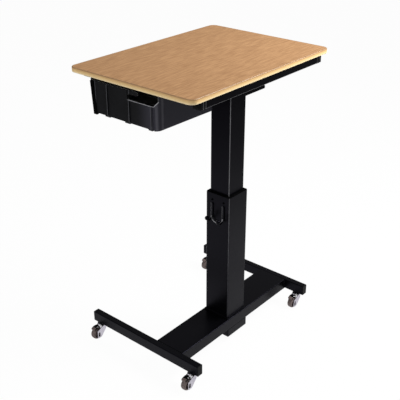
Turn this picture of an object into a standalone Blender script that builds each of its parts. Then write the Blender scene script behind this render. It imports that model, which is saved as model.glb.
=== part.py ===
"""Sit-to-stand school desk on casters: a small worktop on a square telescopic column.

Metres, +Z up. The origin is on the floor, under the middle of the desk's box. The desk stands at its
highest setting. +Y is the side where the pupil sits, and the book box slides out towards -X.
Inside the script the column's axis is x = y = 0, and one empty moves the whole desk to the origin.
"""
import math

import bmesh
import bpy
from mathutils import Matrix

# Clearances
GAP = 0.0003            # between pieces that are fixed together or rest on each other
SLIDE_GAP = 0.0005      # each side of a piece that slides or turns

# Worktop
TOP_WIDTH = 0.719
TOP_DEPTH = 0.515
TOP_THICKNESS = 0.017
TOP_CORNER = 0.024
TOP_HEIGHT = 1.0465     # floor to the worktop at the highest setting
TOP_BACK = 0.1537       # column axis to the worktop's back edge
BAND_WIDTH = 0.003
BAND_ROUND = 0.002      # radius of the band's upper and lower edge
TONGUE_DEPTH = 0.008
TONGUE_HEIGHT = 0.003

# Steel frame under the worktop
RAIL_DEPTH = 0.030
RAIL_HEIGHT = 0.0255
RAIL_INSET = 0.0061     # worktop edge to the rail's outer face
RAIL_END_INSET = 0.0535     # worktop edge to the rail's end
RAIL_CORNER = 0.002
RAIL_CAP_LENGTH = 0.012
ARM_WIDTH = 0.030
ARM_SPACING = 0.110     # between the two arms' centre lines
FRAME_WALL = 0.002
PLUG_LENGTH = 0.012     # the part of an end cap that goes into its tube
HEAD_WIDTH = 0.140
HEAD_DEPTH = 0.120
HEAD_THICKNESS = 0.004
HEAD_CORNER = 0.010

# Telescopic column
INNER_SIZE = 0.082
INNER_WALL = 0.0025
INNER_CORNER = 0.0035
OUTER_SIZE = 0.1016
OUTER_WALL = 0.0025
OUTER_CORNER = 0.0035
OUTER_TOP = 0.592       # floor to the top of the outer column
LIFT_TRAVEL = 0.305
COLUMN_OVERLAP = 0.140  # inner column left inside the outer one at the highest setting
LOWER_GUIDE_LENGTH = 0.060
LOWER_GUIDE_LIP = 0.003
UPPER_GUIDE_LENGTH = 0.050
UPPER_GUIDE_LIP = 0.002
UPPER_GUIDE_MARGIN = 0.001

# Gas spring and its release lever
CYLINDER_RADIUS = 0.014
CYLINDER_WALL = 0.0022
CYLINDER_RESERVE = 0.081    # oil and gas left under the piston at the lowest setting
GLAND_LENGTH = 0.020
PISTON_LENGTH = 0.012
PISTON_CLEARANCE = 0.010    # piston to gland at the highest setting
ROD_RADIUS = 0.005
ROD_BORE_DEPTH = 0.030
RELEASE_PIN_RADIUS = 0.002
RELEASE_PIN_LENGTH = 0.025
RELEASE_PIN_REACH = 0.004   # pin above the rod's end
NUT_RADIUS = 0.0095         # across the corners
NUT_SIDES = 6
NUT_HEIGHT = 0.008
LEVER_DROP = 0.1308         # worktop to the lever's middle line
LEVER_REACH = 0.2018        # column axis to the lever's tip
LEVER_WIDTH = 0.007
LEVER_THICKNESS = 0.0115
LEVER_CORNER = 0.0024
LEVER_EYE_HEIGHT = 0.0150
LEVER_PIVOT = 0.022         # column axis to the lever's pivot
LEVER_PIN_RADIUS = 0.002
LEVER_SLOT_MARGIN = 0.005   # slot in the column wall above and below the lever
BRACKET_THICKNESS = 0.006
BRACKET_DROP = 0.030        # lever's middle line to the bracket's top face
EAR_THICKNESS = 0.004
EAR_LENGTH = 0.014
EAR_MARGIN = 0.006          # ear above the lever's pivot

# Base
FOOT_SPREAD = 0.6416        # between the feet's centre lines
FOOT_LENGTH = 0.510         # with both end caps
FOOT_BACK = 0.1485          # column axis to the feet's back ends
FOOT_WIDTH = 0.025
FOOT_HEIGHT = 0.040
FOOT_CORNER = 0.003
FOOT_WALL = 0.002
FOOT_CAP_THICKNESS = 0.003
BEAM_DEPTH = 0.120
BEAM_HEIGHT = 0.0445        # flush with the feet on top, a little lower than them below
BEAM_CORNER = 0.0025
BEAM_WALL = 0.0025
PLATE_MARGIN = 0.0047       # plate beyond each side of the outer column
PLATE_THICKNESS = 0.004
PLATE_CORNER = 0.004
HOUSING_WIDTH = 0.110
HOUSING_HEIGHT = 0.0305
HOUSING_WALL = 0.002
HOUSING_CORNER = 0.0025

# Casters
CASTER_HEIGHT = 0.060       # floor to the feet's underside
CASTER_BACK_INSET = 0.037   # a foot's back end to the stem of its back caster
CASTER_FRONT_INSET = 0.027
CASTER_TRAIL = 0.027        # stem to axle
WHEEL_RADIUS = 0.0225
WHEEL_WIDTH = 0.020
TREAD_THICKNESS = 0.007
TREAD_SHOULDER = 0.005
HUB_WALL = 0.003
WEB_THICKNESS = 0.006
AXLE_RADIUS = 0.0025
AXLE_HEAD_RADIUS = 0.0045
AXLE_HEAD_HEIGHT = 0.0012
CHEEK_THICKNESS = 0.003
CHEEK_GAP = 0.0012          # wheel to each cheek
CHEEK_REAR = 0.0345         # stem axis to the cheeks' rear edge
CHEEK_SHOULDER = 0.0385     # floor to the top of the rear edge
CHEEK_NECK = 0.0435         # floor to the cheeks' upper edge below the crown
CHEEK_KNEE = 0.034          # floor to the lower end of the upright front edge
CHEEK_BOTTOM = 0.005        # floor to the cheeks' lower edge
CHEEK_TOE = 0.018           # stem axis to the front end of the lower edge
CHEEK_CHAMFER = 0.004
CROWN_HEIGHT = 0.0085
CROWN_REAR = 0.0085         # stem axis to the solid crown's rear face
CROWN_EAR = 0.019           # stem axis to the rear end of the ears that hold the pedal's pin
CROWN_FRONT = 0.008
STEM_FLANGE_RADIUS = 0.012
STEM_FLANGE_HEIGHT = 0.004
STEM_PIN_RADIUS = 0.004
STEM_THREAD_RADIUS = 0.005
STEM_THREAD_LENGTH = 0.018
PEDAL_WIDTH = 0.018
PEDAL_THICKNESS = 0.0045
PEDAL_CLEARANCE = 0.003     # pedal to tyre when released
PEDAL_PIN_RADIUS = 0.0018
PEDAL_START = 58.0          # degrees round the wheel, from straight ahead over the top
PEDAL_PIVOT = 64.0
PEDAL_END = 128.0

# Book box and its runners
BOX_HEIGHT = 0.108
BOX_END_DRAFT = 0.007       # of the front face and the face opposite, from rim to floor
BOX_SIDE_DRAFT = 0.002
BOX_CORNER = 0.022
BOX_WALL = 0.003
BOX_FACE = 0.0095           # worktop's left edge to the box's front face
BOX_INNER_GAP = 0.006       # box's inner end to the arms and the head plate
BOX_BACK = 0.005            # column axis to the box's back side
BOX_TOP_GAP = 0.0105        # worktop's underside to the rim
LIP_WIDTH = 0.008
LIP_THICKNESS = 0.003
SCOOP_WIDTH = 0.104
SCOOP_DROP = 0.031          # rim to the scoop's ledge
SCOOP_OFFSET = 0.0127       # box's back side to the scoop
SCOOP_DEPTH = 0.014         # how far the scoop cuts in from the rim's front
SCOOP_SPLAY = 0.0107        # the back end of the scoop leans out by this
SCOOP_SPLAY_RISE = 0.014    # over this height
RIB_WIDTH = 0.005
RIB_PROUD = 0.003
RIB_OFFSET = 0.0175         # box's back side to the first rib
RIB_PITCH = 0.0968
RIB_COUNT = 3
RUNNER_THICKNESS = 0.002
RUNNER_END_GAP = 0.002      # box's inner end to the runners' ends
RUNNER_FLANGE = 0.016       # the flange that is screwed to the worktop
RUNNER_TOE = 0.006          # the flange that carries the box's lip
RUNNER_RAIL_GAP = 0.0152    # front runner to the front rail

# Bag hooks
HOOK_SPACING = 0.052
HOOK_WIDTH = 0.012
HOOK_THICKNESS = 0.003
HOOK_INSET = 0.018          # outer column's top to the top of the hooks
HOOK_DROP = 0.070           # top of a hook to the start of its bend
HOOK_BEND = 0.009           # inside radius of the bend
HOOK_TIP = 0.006            # straight end after the bend
SCREW_DROP = 0.007          # top of a hook to its screw
SCREW_RADIUS = 0.0025
SCREW_HEAD_RADIUS = 0.0045
SCREW_HEAD_HEIGHT = 0.0025

# How finely round shapes are divided
CORNER_STEPS = 4
SMALL_CORNER_STEPS = 2
TOP_CORNER_STEPS = 8
BAND_ROUND_STEPS = 3
ROUND_STEPS = 24
SMALL_ROUND_STEPS = 12
BEND_STEPS = 8
SHARPEST_CORNER = 0.0005
SMOOTH_ANGLE = math.radians(35)

# Heights and places that follow from the sizes above
TOP_UNDERSIDE = TOP_HEIGHT - TOP_THICKNESS
TOP_CENTRE_Y = TOP_DEPTH / 2 - TOP_BACK
FRAME_TOP = TOP_UNDERSIDE - GAP
FRAME_BOTTOM = FRAME_TOP - RAIL_HEIGHT
RAIL_LENGTH = TOP_WIDTH - 2 * RAIL_END_INSET
FRONT_RAIL_FACE = TOP_DEPTH - TOP_BACK - RAIL_INSET - RAIL_DEPTH    # the face towards the column
HEAD_TOP = FRAME_BOTTOM - GAP
INNER_TOP = HEAD_TOP - HEAD_THICKNESS - GAP
INNER_BOTTOM = OUTER_TOP - COLUMN_OVERLAP
FOOT_BOTTOM = CASTER_HEIGHT
FOOT_TOP = FOOT_BOTTOM + FOOT_HEIGHT
FOOT_X = FOOT_SPREAD / 2
FOOT_CENTRE_Y = FOOT_LENGTH / 2 - FOOT_BACK
BEAM_LENGTH = FOOT_SPREAD - FOOT_WIDTH - 2 * GAP
BEAM_BOTTOM = FOOT_TOP - BEAM_HEIGHT
PLATE_SIZE = OUTER_SIZE + 2 * PLATE_MARGIN
PLATE_BOTTOM = FOOT_TOP + GAP
OUTER_BOTTOM = PLATE_BOTTOM + PLATE_THICKNESS + GAP
HOUSING_TOP = BEAM_BOTTOM - GAP
CYLINDER_BOTTOM = HOUSING_TOP - HOUSING_HEIGHT + HOUSING_WALL + GAP
PISTON_ROOM = CYLINDER_RESERVE + LIFT_TRAVEL + PISTON_LENGTH + PISTON_CLEARANCE
CYLINDER_LENGTH = CYLINDER_WALL + PISTON_ROOM + GLAND_LENGTH
CYLINDER_TOP = CYLINDER_BOTTOM + CYLINDER_LENGTH
LEVER_HEIGHT = TOP_HEIGHT - LEVER_DROP
BRACKET_TOP = LEVER_HEIGHT - BRACKET_DROP
RELEASE_PIN_TOP = LEVER_HEIGHT - LEVER_THICKNESS / 2 - GAP
ROD_TOP = RELEASE_PIN_TOP - RELEASE_PIN_REACH
ROD_BOTTOM = CYLINDER_TOP - GLAND_LENGTH - PISTON_CLEARANCE - PISTON_LENGTH
CASTER_Y = {"back": CASTER_BACK_INSET - FOOT_BACK, "front": FOOT_LENGTH - FOOT_BACK - CASTER_FRONT_INSET}
FORK_TOP = FOOT_BOTTOM - STEM_FLANGE_HEIGHT - 2 * GAP
CROWN_BOTTOM = FORK_TOP - CROWN_HEIGHT
FORK_WIDTH = WHEEL_WIDTH + 2 * (CHEEK_GAP + CHEEK_THICKNESS)
BOX_INNER_END = max(HEAD_WIDTH, ARM_SPACING + ARM_WIDTH) / 2 + BOX_INNER_GAP     # from the column axis
BOX_LENGTH = TOP_WIDTH / 2 - BOX_FACE - BOX_INNER_END      # along X, at the rim
RUNNER_LENGTH = BOX_LENGTH - BOX_CORNER - RUNNER_END_GAP
RUNNER_WEB = LIP_WIDTH + SLIDE_GAP      # box's side to the runner's upright web
BOX_FRONT = FRONT_RAIL_FACE - RUNNER_RAIL_GAP - RUNNER_FLANGE - RUNNER_WEB
BOX_DEPTH = BOX_BACK + BOX_FRONT        # along Y, at the rim
BOX_X = BOX_FACE + BOX_LENGTH / 2 - TOP_WIDTH / 2
BOX_Y = BOX_DEPTH / 2 - BOX_BACK
BOX_TOP = TOP_UNDERSIDE - BOX_TOP_GAP
HOOK_TOP = OUTER_TOP - HOOK_INSET
LEFT_REACH = max(TOP_WIDTH / 2, FOOT_X + CASTER_TRAIL + WHEEL_RADIUS)
FRONT_REACH = max(TOP_DEPTH - TOP_BACK, FOOT_LENGTH - FOOT_BACK)
BACK_REACH = max(TOP_BACK, FOOT_BACK)
DESK_CENTRE_X = (TOP_WIDTH / 2 - LEFT_REACH) / 2
DESK_CENTRE_Y = (FRONT_REACH - BACK_REACH) / 2

ALONG_X = Matrix.Rotation(math.pi / 2, 4, "Y")      # turns +Z to +X
ALONG_Y = Matrix.Rotation(-math.pi / 2, 4, "X")     # turns +Z to +Y


def clear_scene():
    for item in list(bpy.data.objects):
        bpy.data.objects.remove(item, do_unlink=True)


def make_material(name, colour, roughness, metallic=0.0):
    finish = bpy.data.materials.new(name)
    finish.use_nodes = True
    shader = finish.node_tree.nodes["Principled BSDF"]
    shader.inputs["Base Color"].default_value = (*colour, 1.0)
    shader.inputs["Roughness"].default_value = roughness
    shader.inputs["Metallic"].default_value = metallic
    return finish


def make_empty(name, parent=None, location=(0, 0, 0)):
    empty = bpy.data.objects.new(name, None)
    bpy.context.scene.collection.objects.link(empty)
    empty.parent = parent
    empty.location = location
    return empty


def finished_mesh(name, shape):
    """Turn a bmesh into a mesh that is shaded smooth across shallow angles."""
    bmesh.ops.recalc_face_normals(shape, faces=shape.faces)
    mesh = bpy.data.meshes.new(name)
    shape.to_mesh(mesh)
    shape.free()
    mesh.shade_smooth()
    mesh.set_sharp_from_angle(angle=SMOOTH_ANGLE)
    return mesh


def place(name, shape, finish, parent, location=(0, 0, 0)):
    """Add one piece of the desk. Its shape is a bmesh, or a mesh that pieces share."""
    mesh = shape if isinstance(shape, bpy.types.Mesh) else finished_mesh(name, shape)
    if not mesh.materials:
        mesh.materials.append(finish)
    piece = bpy.data.objects.new(name, mesh)
    bpy.context.scene.collection.objects.link(piece)
    piece.parent = parent
    piece.location = location
    return piece


def rounded_rectangle(width, depth, radius, z, steps=CORNER_STEPS):
    """Points round a rectangle with round corners, at height z."""
    points = []
    for quarter, (side_x, side_y) in enumerate(((1, 1), (-1, 1), (-1, -1), (1, -1))):
        for step in range(steps + 1):
            angle = math.radians(90 * (quarter + step / steps))
            x = side_x * (width / 2 - radius) + radius * math.cos(angle)
            y = side_y * (depth / 2 - radius) + radius * math.sin(angle)
            points.append((x, y, z))
    return points


def inset_rectangle(width, depth, corner, inset):
    """Width, depth and corner radius of a rounded rectangle that lies inside another by an inset."""
    return width - 2 * inset, depth - 2 * inset, max(corner - inset, SHARPEST_CORNER)


def circle(radius, z, steps=ROUND_STEPS):
    """Points round a circle at height z."""
    angles = [2 * math.pi * step / steps for step in range(steps)]
    return [(radius * math.cos(angle), radius * math.sin(angle), z) for angle in angles]


def skin(loops, ring=False):
    """A solid through closed loops of points, all with as many points, joined in order by quads.

    A ring joins its last loop to its first. Otherwise the first and last loops are capped.
    """
    shape = bmesh.new()
    rows = [[shape.verts.new(point) for point in points] for points in loops]
    pairs = list(zip(rows, rows[1:]))
    if ring:
        pairs.append((rows[-1], rows[0]))
    for first, second in pairs:
        for i in range(len(first)):
            shape.faces.new((first[i - 1], first[i], second[i], second[i - 1]))
    if not ring:
        shape.faces.new(rows[0])
        shape.faces.new(rows[-1])
    return shape


def moved(shape, *steps):
    """Apply matrices, or shifts given as (x, y, z), to a bmesh in order."""
    for step in steps:
        matrix = step if isinstance(step, Matrix) else Matrix.Translation(step)
        bmesh.ops.transform(shape, matrix=matrix, verts=shape.verts)
    return shape


def block(low, high):
    """A plain box between two corners."""
    shape = bmesh.new()
    bmesh.ops.create_cube(shape, size=1.0)
    size = [b - a for a, b in zip(low, high)]
    middle = [(a + b) / 2 for a, b in zip(low, high)]
    return moved(shape, Matrix.Diagonal((*size, 1.0)), middle)


def rod(radius, low, high, steps=ROUND_STEPS):
    """A plain round bar along Z."""
    return skin([circle(radius, low, steps), circle(radius, high, steps)])


def turned(profile, steps=ROUND_STEPS):
    """A solid turned about Z from (radius, z) pairs, closed by a disc at each end."""
    return skin([circle(radius, z, steps) for radius, z in profile])


def turned_ring(profile, steps=ROUND_STEPS):
    """A ring turned about Z from the (radius, z) pairs round its section."""
    return skin([circle(radius, z, steps) for radius, z in profile], ring=True)


def rectangular_tube(width, depth, corner, wall, length, steps=CORNER_STEPS):
    """An open tube along Z, from z = 0 up."""
    inner = inset_rectangle(width, depth, corner, wall)
    return skin([
        rounded_rectangle(width, depth, corner, 0, steps),
        rounded_rectangle(width, depth, corner, length, steps),
        rounded_rectangle(*inner, length, steps),
        rounded_rectangle(*inner, 0, steps),
    ], ring=True)


def tube_cap(width, depth, corner, wall, thickness, rounding, steps=CORNER_STEPS):
    """An end cap that faces +Z: a plug goes down into the tube, and a head as wide as the tube shows."""
    plug = inset_rectangle(width, depth, corner, wall + GAP)
    return skin([
        rounded_rectangle(*plug, -PLUG_LENGTH, steps),
        rounded_rectangle(*plug, GAP, steps),
        rounded_rectangle(width, depth, corner, GAP, steps),
        rounded_rectangle(width, depth, corner, thickness - rounding, steps),
        rounded_rectangle(*inset_rectangle(width, depth, corner, rounding), thickness, steps),
    ])


def plate(width, depth, corner, thickness):
    """A flat plate from z = 0 up, with round corners."""
    return skin([
        rounded_rectangle(width, depth, corner, 0),
        rounded_rectangle(width, depth, corner, thickness),
    ])


def temporary(shape):
    mesh = bpy.data.meshes.new("temporary")
    bmesh.ops.recalc_face_normals(shape, faces=shape.faces)
    shape.to_mesh(mesh)
    shape.free()
    item = bpy.data.objects.new("temporary", mesh)
    bpy.context.scene.collection.objects.link(item)
    return item


def carve(shape, tools, operation="DIFFERENCE"):
    """Cut closed tools out of a solid, or join them to it, and return the result as a bmesh."""
    target = temporary(shape)
    helpers = [temporary(tool) for tool in tools]
    for helper in helpers:
        modifier = target.modifiers.new("carve", "BOOLEAN")
        modifier.operation = operation
        modifier.solver = "EXACT"
        modifier.object = helper
    result = bmesh.new()
    result.from_object(target, bpy.context.evaluated_depsgraph_get())
    for item in [target, *helpers]:
        bpy.data.objects.remove(item, do_unlink=True)
    return result


def join(shape, others):
    return carve(shape, others, operation="UNION")


def extruded(outline, width):
    """An outline of (x, z) pairs, extruded evenly to both sides of y = 0."""
    return skin([[(x, side * width / 2, z) for x, z in outline] for side in (-1, 1)])


def arc(centre, radius, start, end, steps):
    """(x, z) pairs on an arc, between two angles in degrees."""
    x, z = centre
    angles = [math.radians(start + (end - start) * step / steps) for step in range(steps + 1)]
    return [(x + radius * math.cos(angle), z + radius * math.sin(angle)) for angle in angles]


def build_worktop(lift, wood, band_finish):
    """The laminated board, and the edge band whose tongue sits in a groove round the board."""
    middle = TOP_THICKNESS / 2

    def outline(inset, z):
        return rounded_rectangle(TOP_WIDTH - 2 * inset, TOP_DEPTH - 2 * inset, TOP_CORNER - inset, z,
                                 TOP_CORNER_STEPS)

    edge = BAND_WIDTH + GAP
    groove = edge + TONGUE_DEPTH
    groove_half = TONGUE_HEIGHT / 2 + GAP
    board = skin([
        outline(edge, 0),
        outline(edge, middle - groove_half),
        outline(groove, middle - groove_half),
        outline(groove, middle + groove_half),
        outline(edge, middle + groove_half),
        outline(edge, TOP_THICKNESS),
    ])
    place("worktop_board", board, wood, lift, (0, TOP_CENTRE_Y, TOP_UNDERSIDE))

    tongue_half = TONGUE_HEIGHT / 2
    tongue = BAND_WIDTH + TONGUE_DEPTH - GAP
    loops = [
        outline(BAND_WIDTH, middle + tongue_half),
        outline(tongue, middle + tongue_half),
        outline(tongue, middle - tongue_half),
        outline(BAND_WIDTH, middle - tongue_half),
    ]
    loops.append(outline(BAND_WIDTH, 0))
    for centre_z, start in ((BAND_ROUND, -90), (TOP_THICKNESS - BAND_ROUND, 0)):
        for step in range(BAND_ROUND_STEPS + 1):
            angle = math.radians(start + 90 * step / BAND_ROUND_STEPS)
            loops.append(outline(BAND_ROUND * (1 - math.cos(angle)), centre_z + BAND_ROUND * math.sin(angle)))
    loops.append(outline(BAND_WIDTH, TOP_THICKNESS))
    place("worktop_edge_band", skin(loops, ring=True), band_finish, lift, (0, TOP_CENTRE_Y, TOP_UNDERSIDE))


def build_top_frame(lift, steel, plastic):
    """Two capped rails along the worktop, two arms between them, and the plate on the column's head."""
    middle_z = FRAME_TOP - RAIL_HEIGHT / 2
    rail_y = {
        "back": -TOP_BACK + RAIL_INSET + RAIL_DEPTH / 2,
        "front": TOP_DEPTH - TOP_BACK - RAIL_INSET - RAIL_DEPTH / 2,
    }
    tube_length = RAIL_LENGTH - 2 * RAIL_CAP_LENGTH
    for side, y in rail_y.items():
        rail = rectangular_tube(RAIL_HEIGHT, RAIL_DEPTH, RAIL_CORNER, FRAME_WALL, tube_length,
                                SMALL_CORNER_STEPS)
        place(f"{side}_rail", moved(rail, (0, 0, -tube_length / 2), ALONG_X), steel, lift, (0, y, middle_z))
        for end, sign in (("left", -1), ("right", 1)):
            cap = tube_cap(RAIL_HEIGHT, RAIL_DEPTH, RAIL_CORNER, FRAME_WALL, RAIL_CAP_LENGTH,
                           RAIL_CORNER / 2, SMALL_CORNER_STEPS)
            facing = Matrix.Rotation(math.pi / 2 * sign, 4, "Y")
            place(f"{side}_rail_cap_{end}", moved(cap, facing), plastic, lift,
                  (sign * tube_length / 2, y, middle_z))

    arm_length = rail_y["front"] - rail_y["back"] - RAIL_DEPTH - 2 * GAP
    arm_start = rail_y["back"] + RAIL_DEPTH / 2 + GAP
    for end, sign in (("left", -1), ("right", 1)):
        arm = rectangular_tube(ARM_WIDTH, RAIL_HEIGHT, RAIL_CORNER, FRAME_WALL, arm_length,
                               SMALL_CORNER_STEPS)
        place(f"top_arm_{end}", moved(arm, ALONG_Y), steel, lift,
              (sign * ARM_SPACING / 2, arm_start, middle_z))

    head = plate(HEAD_WIDTH, HEAD_DEPTH, HEAD_CORNER, HEAD_THICKNESS)
    place("column_head_plate", head, steel, lift, (0, 0, HEAD_TOP - HEAD_THICKNESS))


def build_column(desk, lift, steel, plastic):
    """Two square tubes, one inside the other, and the plastic guides between them."""
    slot_half_width = LEVER_WIDTH / 2 + SLIDE_GAP
    slot_half_height = LEVER_THICKNESS / 2 + LEVER_SLOT_MARGIN
    slot_z = LEVER_HEIGHT - INNER_BOTTOM
    inner_half = INNER_SIZE / 2
    slot = block((inner_half - 2 * INNER_WALL, -slot_half_width, slot_z - slot_half_height),
                 (inner_half + INNER_WALL, slot_half_width, slot_z + slot_half_height))
    inner = rectangular_tube(INNER_SIZE, INNER_SIZE, INNER_CORNER, INNER_WALL, INNER_TOP - INNER_BOTTOM)
    place("inner_column", carve(inner, [slot]), steel, lift, (0, 0, INNER_BOTTOM))

    outer = rectangular_tube(OUTER_SIZE, OUTER_SIZE, OUTER_CORNER, OUTER_WALL, OUTER_TOP - OUTER_BOTTOM)
    holes = []
    for y in (-HOOK_SPACING / 2, HOOK_SPACING / 2):
        hole = rod(SCREW_RADIUS + GAP, -2 * OUTER_WALL, 2 * OUTER_WALL, SMALL_ROUND_STEPS)
        holes.append(moved(hole, ALONG_X, (-OUTER_SIZE / 2, y, HOOK_TOP - SCREW_DROP - OUTER_BOTTOM)))
    place("outer_column", carve(outer, holes), steel, desk, (0, 0, OUTER_BOTTOM))

    outside = (OUTER_SIZE, OUTER_SIZE, OUTER_CORNER)
    inside = (INNER_SIZE, INNER_SIZE, INNER_CORNER)
    running = inset_rectangle(*inside, -SLIDE_GAP)
    fixed = inset_rectangle(*outside, OUTER_WALL + GAP)
    collar = inset_rectangle(*outside, UPPER_GUIDE_MARGIN)
    upper = skin([
        rounded_rectangle(*running, -UPPER_GUIDE_LENGTH),
        rounded_rectangle(*fixed, -UPPER_GUIDE_LENGTH),
        rounded_rectangle(*fixed, GAP),
        rounded_rectangle(*collar, GAP),
        rounded_rectangle(*collar, UPPER_GUIDE_LIP),
        rounded_rectangle(*running, UPPER_GUIDE_LIP),
    ], ring=True)
    place("upper_guide", upper, plastic, desk, (0, 0, OUTER_TOP))

    clamped = inset_rectangle(*inside, -GAP)
    sliding = inset_rectangle(*outside, OUTER_WALL + SLIDE_GAP)
    lip = inset_rectangle(*inside, INNER_WALL)
    lower = skin([
        rounded_rectangle(*lip, -LOWER_GUIDE_LIP - GAP),
        rounded_rectangle(*sliding, -LOWER_GUIDE_LIP - GAP),
        rounded_rectangle(*sliding, LOWER_GUIDE_LENGTH),
        rounded_rectangle(*clamped, LOWER_GUIDE_LENGTH),
        rounded_rectangle(*clamped, -GAP),
        rounded_rectangle(*lip, -GAP),
    ], ring=True)
    place("lower_guide", lower, plastic, lift, (0, 0, INNER_BOTTOM))


def build_gas_spring(desk, lift, steel, chrome):
    """The lockable gas spring inside the column: a cylinder and gland below, a rod, nut and pin above."""
    bore = CYLINDER_RADIUS - CYLINDER_WALL
    cylinder = turned([
        (CYLINDER_RADIUS, 0),
        (CYLINDER_RADIUS, CYLINDER_LENGTH),
        (bore, CYLINDER_LENGTH),
        (bore, CYLINDER_WALL),
    ])
    place("gas_spring_cylinder", cylinder, steel, desk, (0, 0, CYLINDER_BOTTOM))

    gland = turned_ring([
        (ROD_RADIUS + SLIDE_GAP, -GLAND_LENGTH),
        (bore - GAP, -GLAND_LENGTH),
        (bore - GAP, GAP),
        (CYLINDER_RADIUS, GAP),
        (CYLINDER_RADIUS, CYLINDER_WALL),
        (ROD_RADIUS + SLIDE_GAP, CYLINDER_WALL),
    ])
    place("gas_spring_gland", gland, chrome, desk, (0, 0, CYLINDER_TOP))

    rod_length = ROD_TOP - ROD_BOTTOM
    hollow = RELEASE_PIN_RADIUS + GAP
    spring_rod = turned([
        (bore - SLIDE_GAP, 0),
        (bore - SLIDE_GAP, PISTON_LENGTH),
        (ROD_RADIUS, PISTON_LENGTH),
        (ROD_RADIUS, rod_length),
        (hollow, rod_length),
        (hollow, rod_length - ROD_BORE_DEPTH),
    ])
    place("gas_spring_rod", spring_rod, chrome, lift, (0, 0, ROD_BOTTOM))

    nut_bore = rod(ROD_RADIUS + GAP, -NUT_HEIGHT, 2 * NUT_HEIGHT)
    nut = carve(rod(NUT_RADIUS, 0, NUT_HEIGHT, NUT_SIDES), [nut_bore])
    place("rod_nut", nut, chrome, lift, (0, 0, BRACKET_TOP + GAP))

    release_axis = make_empty("release_pin_axis", lift, (0, 0, RELEASE_PIN_TOP))
    pin = rod(RELEASE_PIN_RADIUS, -RELEASE_PIN_LENGTH, 0, SMALL_ROUND_STEPS)
    place("release_pin", pin, chrome, release_axis)


def build_release_lever(lift, steel, chrome):
    """The bracket inside the inner column, its pin, and the lever that reaches out through the slot."""
    inside = inset_rectangle(INNER_SIZE, INNER_SIZE, INNER_CORNER, INNER_WALL + GAP)
    base = plate(*inside, BRACKET_THICKNESS)
    rod_hole = rod(ROD_RADIUS + GAP, -BRACKET_THICKNESS, 2 * BRACKET_THICKNESS)
    ear_gap = LEVER_WIDTH / 2 + SLIDE_GAP
    pivot_z = BRACKET_THICKNESS + BRACKET_DROP
    ears = []
    for side in (-1, 1):
        ear_y = sorted((side * ear_gap, side * (ear_gap + EAR_THICKNESS)))
        ears.append(block((LEVER_PIVOT - EAR_LENGTH / 2, ear_y[0], BRACKET_THICKNESS / 2),
                          (LEVER_PIVOT + EAR_LENGTH / 2, ear_y[1], pivot_z + EAR_MARGIN)))
    pin_length = 2 * (ear_gap + EAR_THICKNESS)
    pin_hole = rod(LEVER_PIN_RADIUS + GAP, -pin_length, pin_length, SMALL_ROUND_STEPS)
    pin_hole = moved(pin_hole, ALONG_Y, (LEVER_PIVOT, 0, pivot_z))
    bracket = carve(join(base, ears), [rod_hole, pin_hole])
    place("spring_head_bracket", bracket, steel, lift, (0, 0, BRACKET_TOP - BRACKET_THICKNESS))

    pin = rod(LEVER_PIN_RADIUS, -pin_length / 2, pin_length / 2, SMALL_ROUND_STEPS)
    place("lever_pin", moved(pin, ALONG_Y), chrome, lift, (LEVER_PIVOT, 0, LEVER_HEIGHT))

    eye_half = LEVER_EYE_HEIGHT / 2
    inner_end = -LEVER_PIVOT - 2 * RELEASE_PIN_RADIUS
    tip = LEVER_REACH - LEVER_PIVOT
    stations = [
        (inner_end, LEVER_WIDTH, LEVER_THICKNESS),
        (-2 * eye_half, LEVER_WIDTH, LEVER_THICKNESS),
        (-eye_half, LEVER_WIDTH, LEVER_EYE_HEIGHT),
        (eye_half, LEVER_WIDTH, LEVER_EYE_HEIGHT),
        (2 * eye_half, LEVER_WIDTH, LEVER_THICKNESS),
        (tip - LEVER_CORNER, LEVER_WIDTH, LEVER_THICKNESS),
        (tip, LEVER_WIDTH - LEVER_CORNER, LEVER_THICKNESS - LEVER_CORNER),
    ]
    narrow = (LEVER_THICKNESS - LEVER_CORNER) / LEVER_THICKNESS
    loops = []
    for index, (x, width, height) in enumerate(stations):
        corner = LEVER_CORNER * (narrow if index == len(stations) - 1 else 1)
        section = rounded_rectangle(height, width, corner, 0, SMALL_CORNER_STEPS)
        loops.append([(x, y, z) for z, y, _ in section])
    hole = moved(rod(LEVER_PIN_RADIUS + GAP, -LEVER_WIDTH, LEVER_WIDTH, SMALL_ROUND_STEPS), ALONG_Y)
    lever_axis = make_empty("lever_axis", lift, (LEVER_PIVOT, 0, LEVER_HEIGHT))
    place("release_lever", carve(skin(loops), [hole]), steel, lever_axis)


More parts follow.
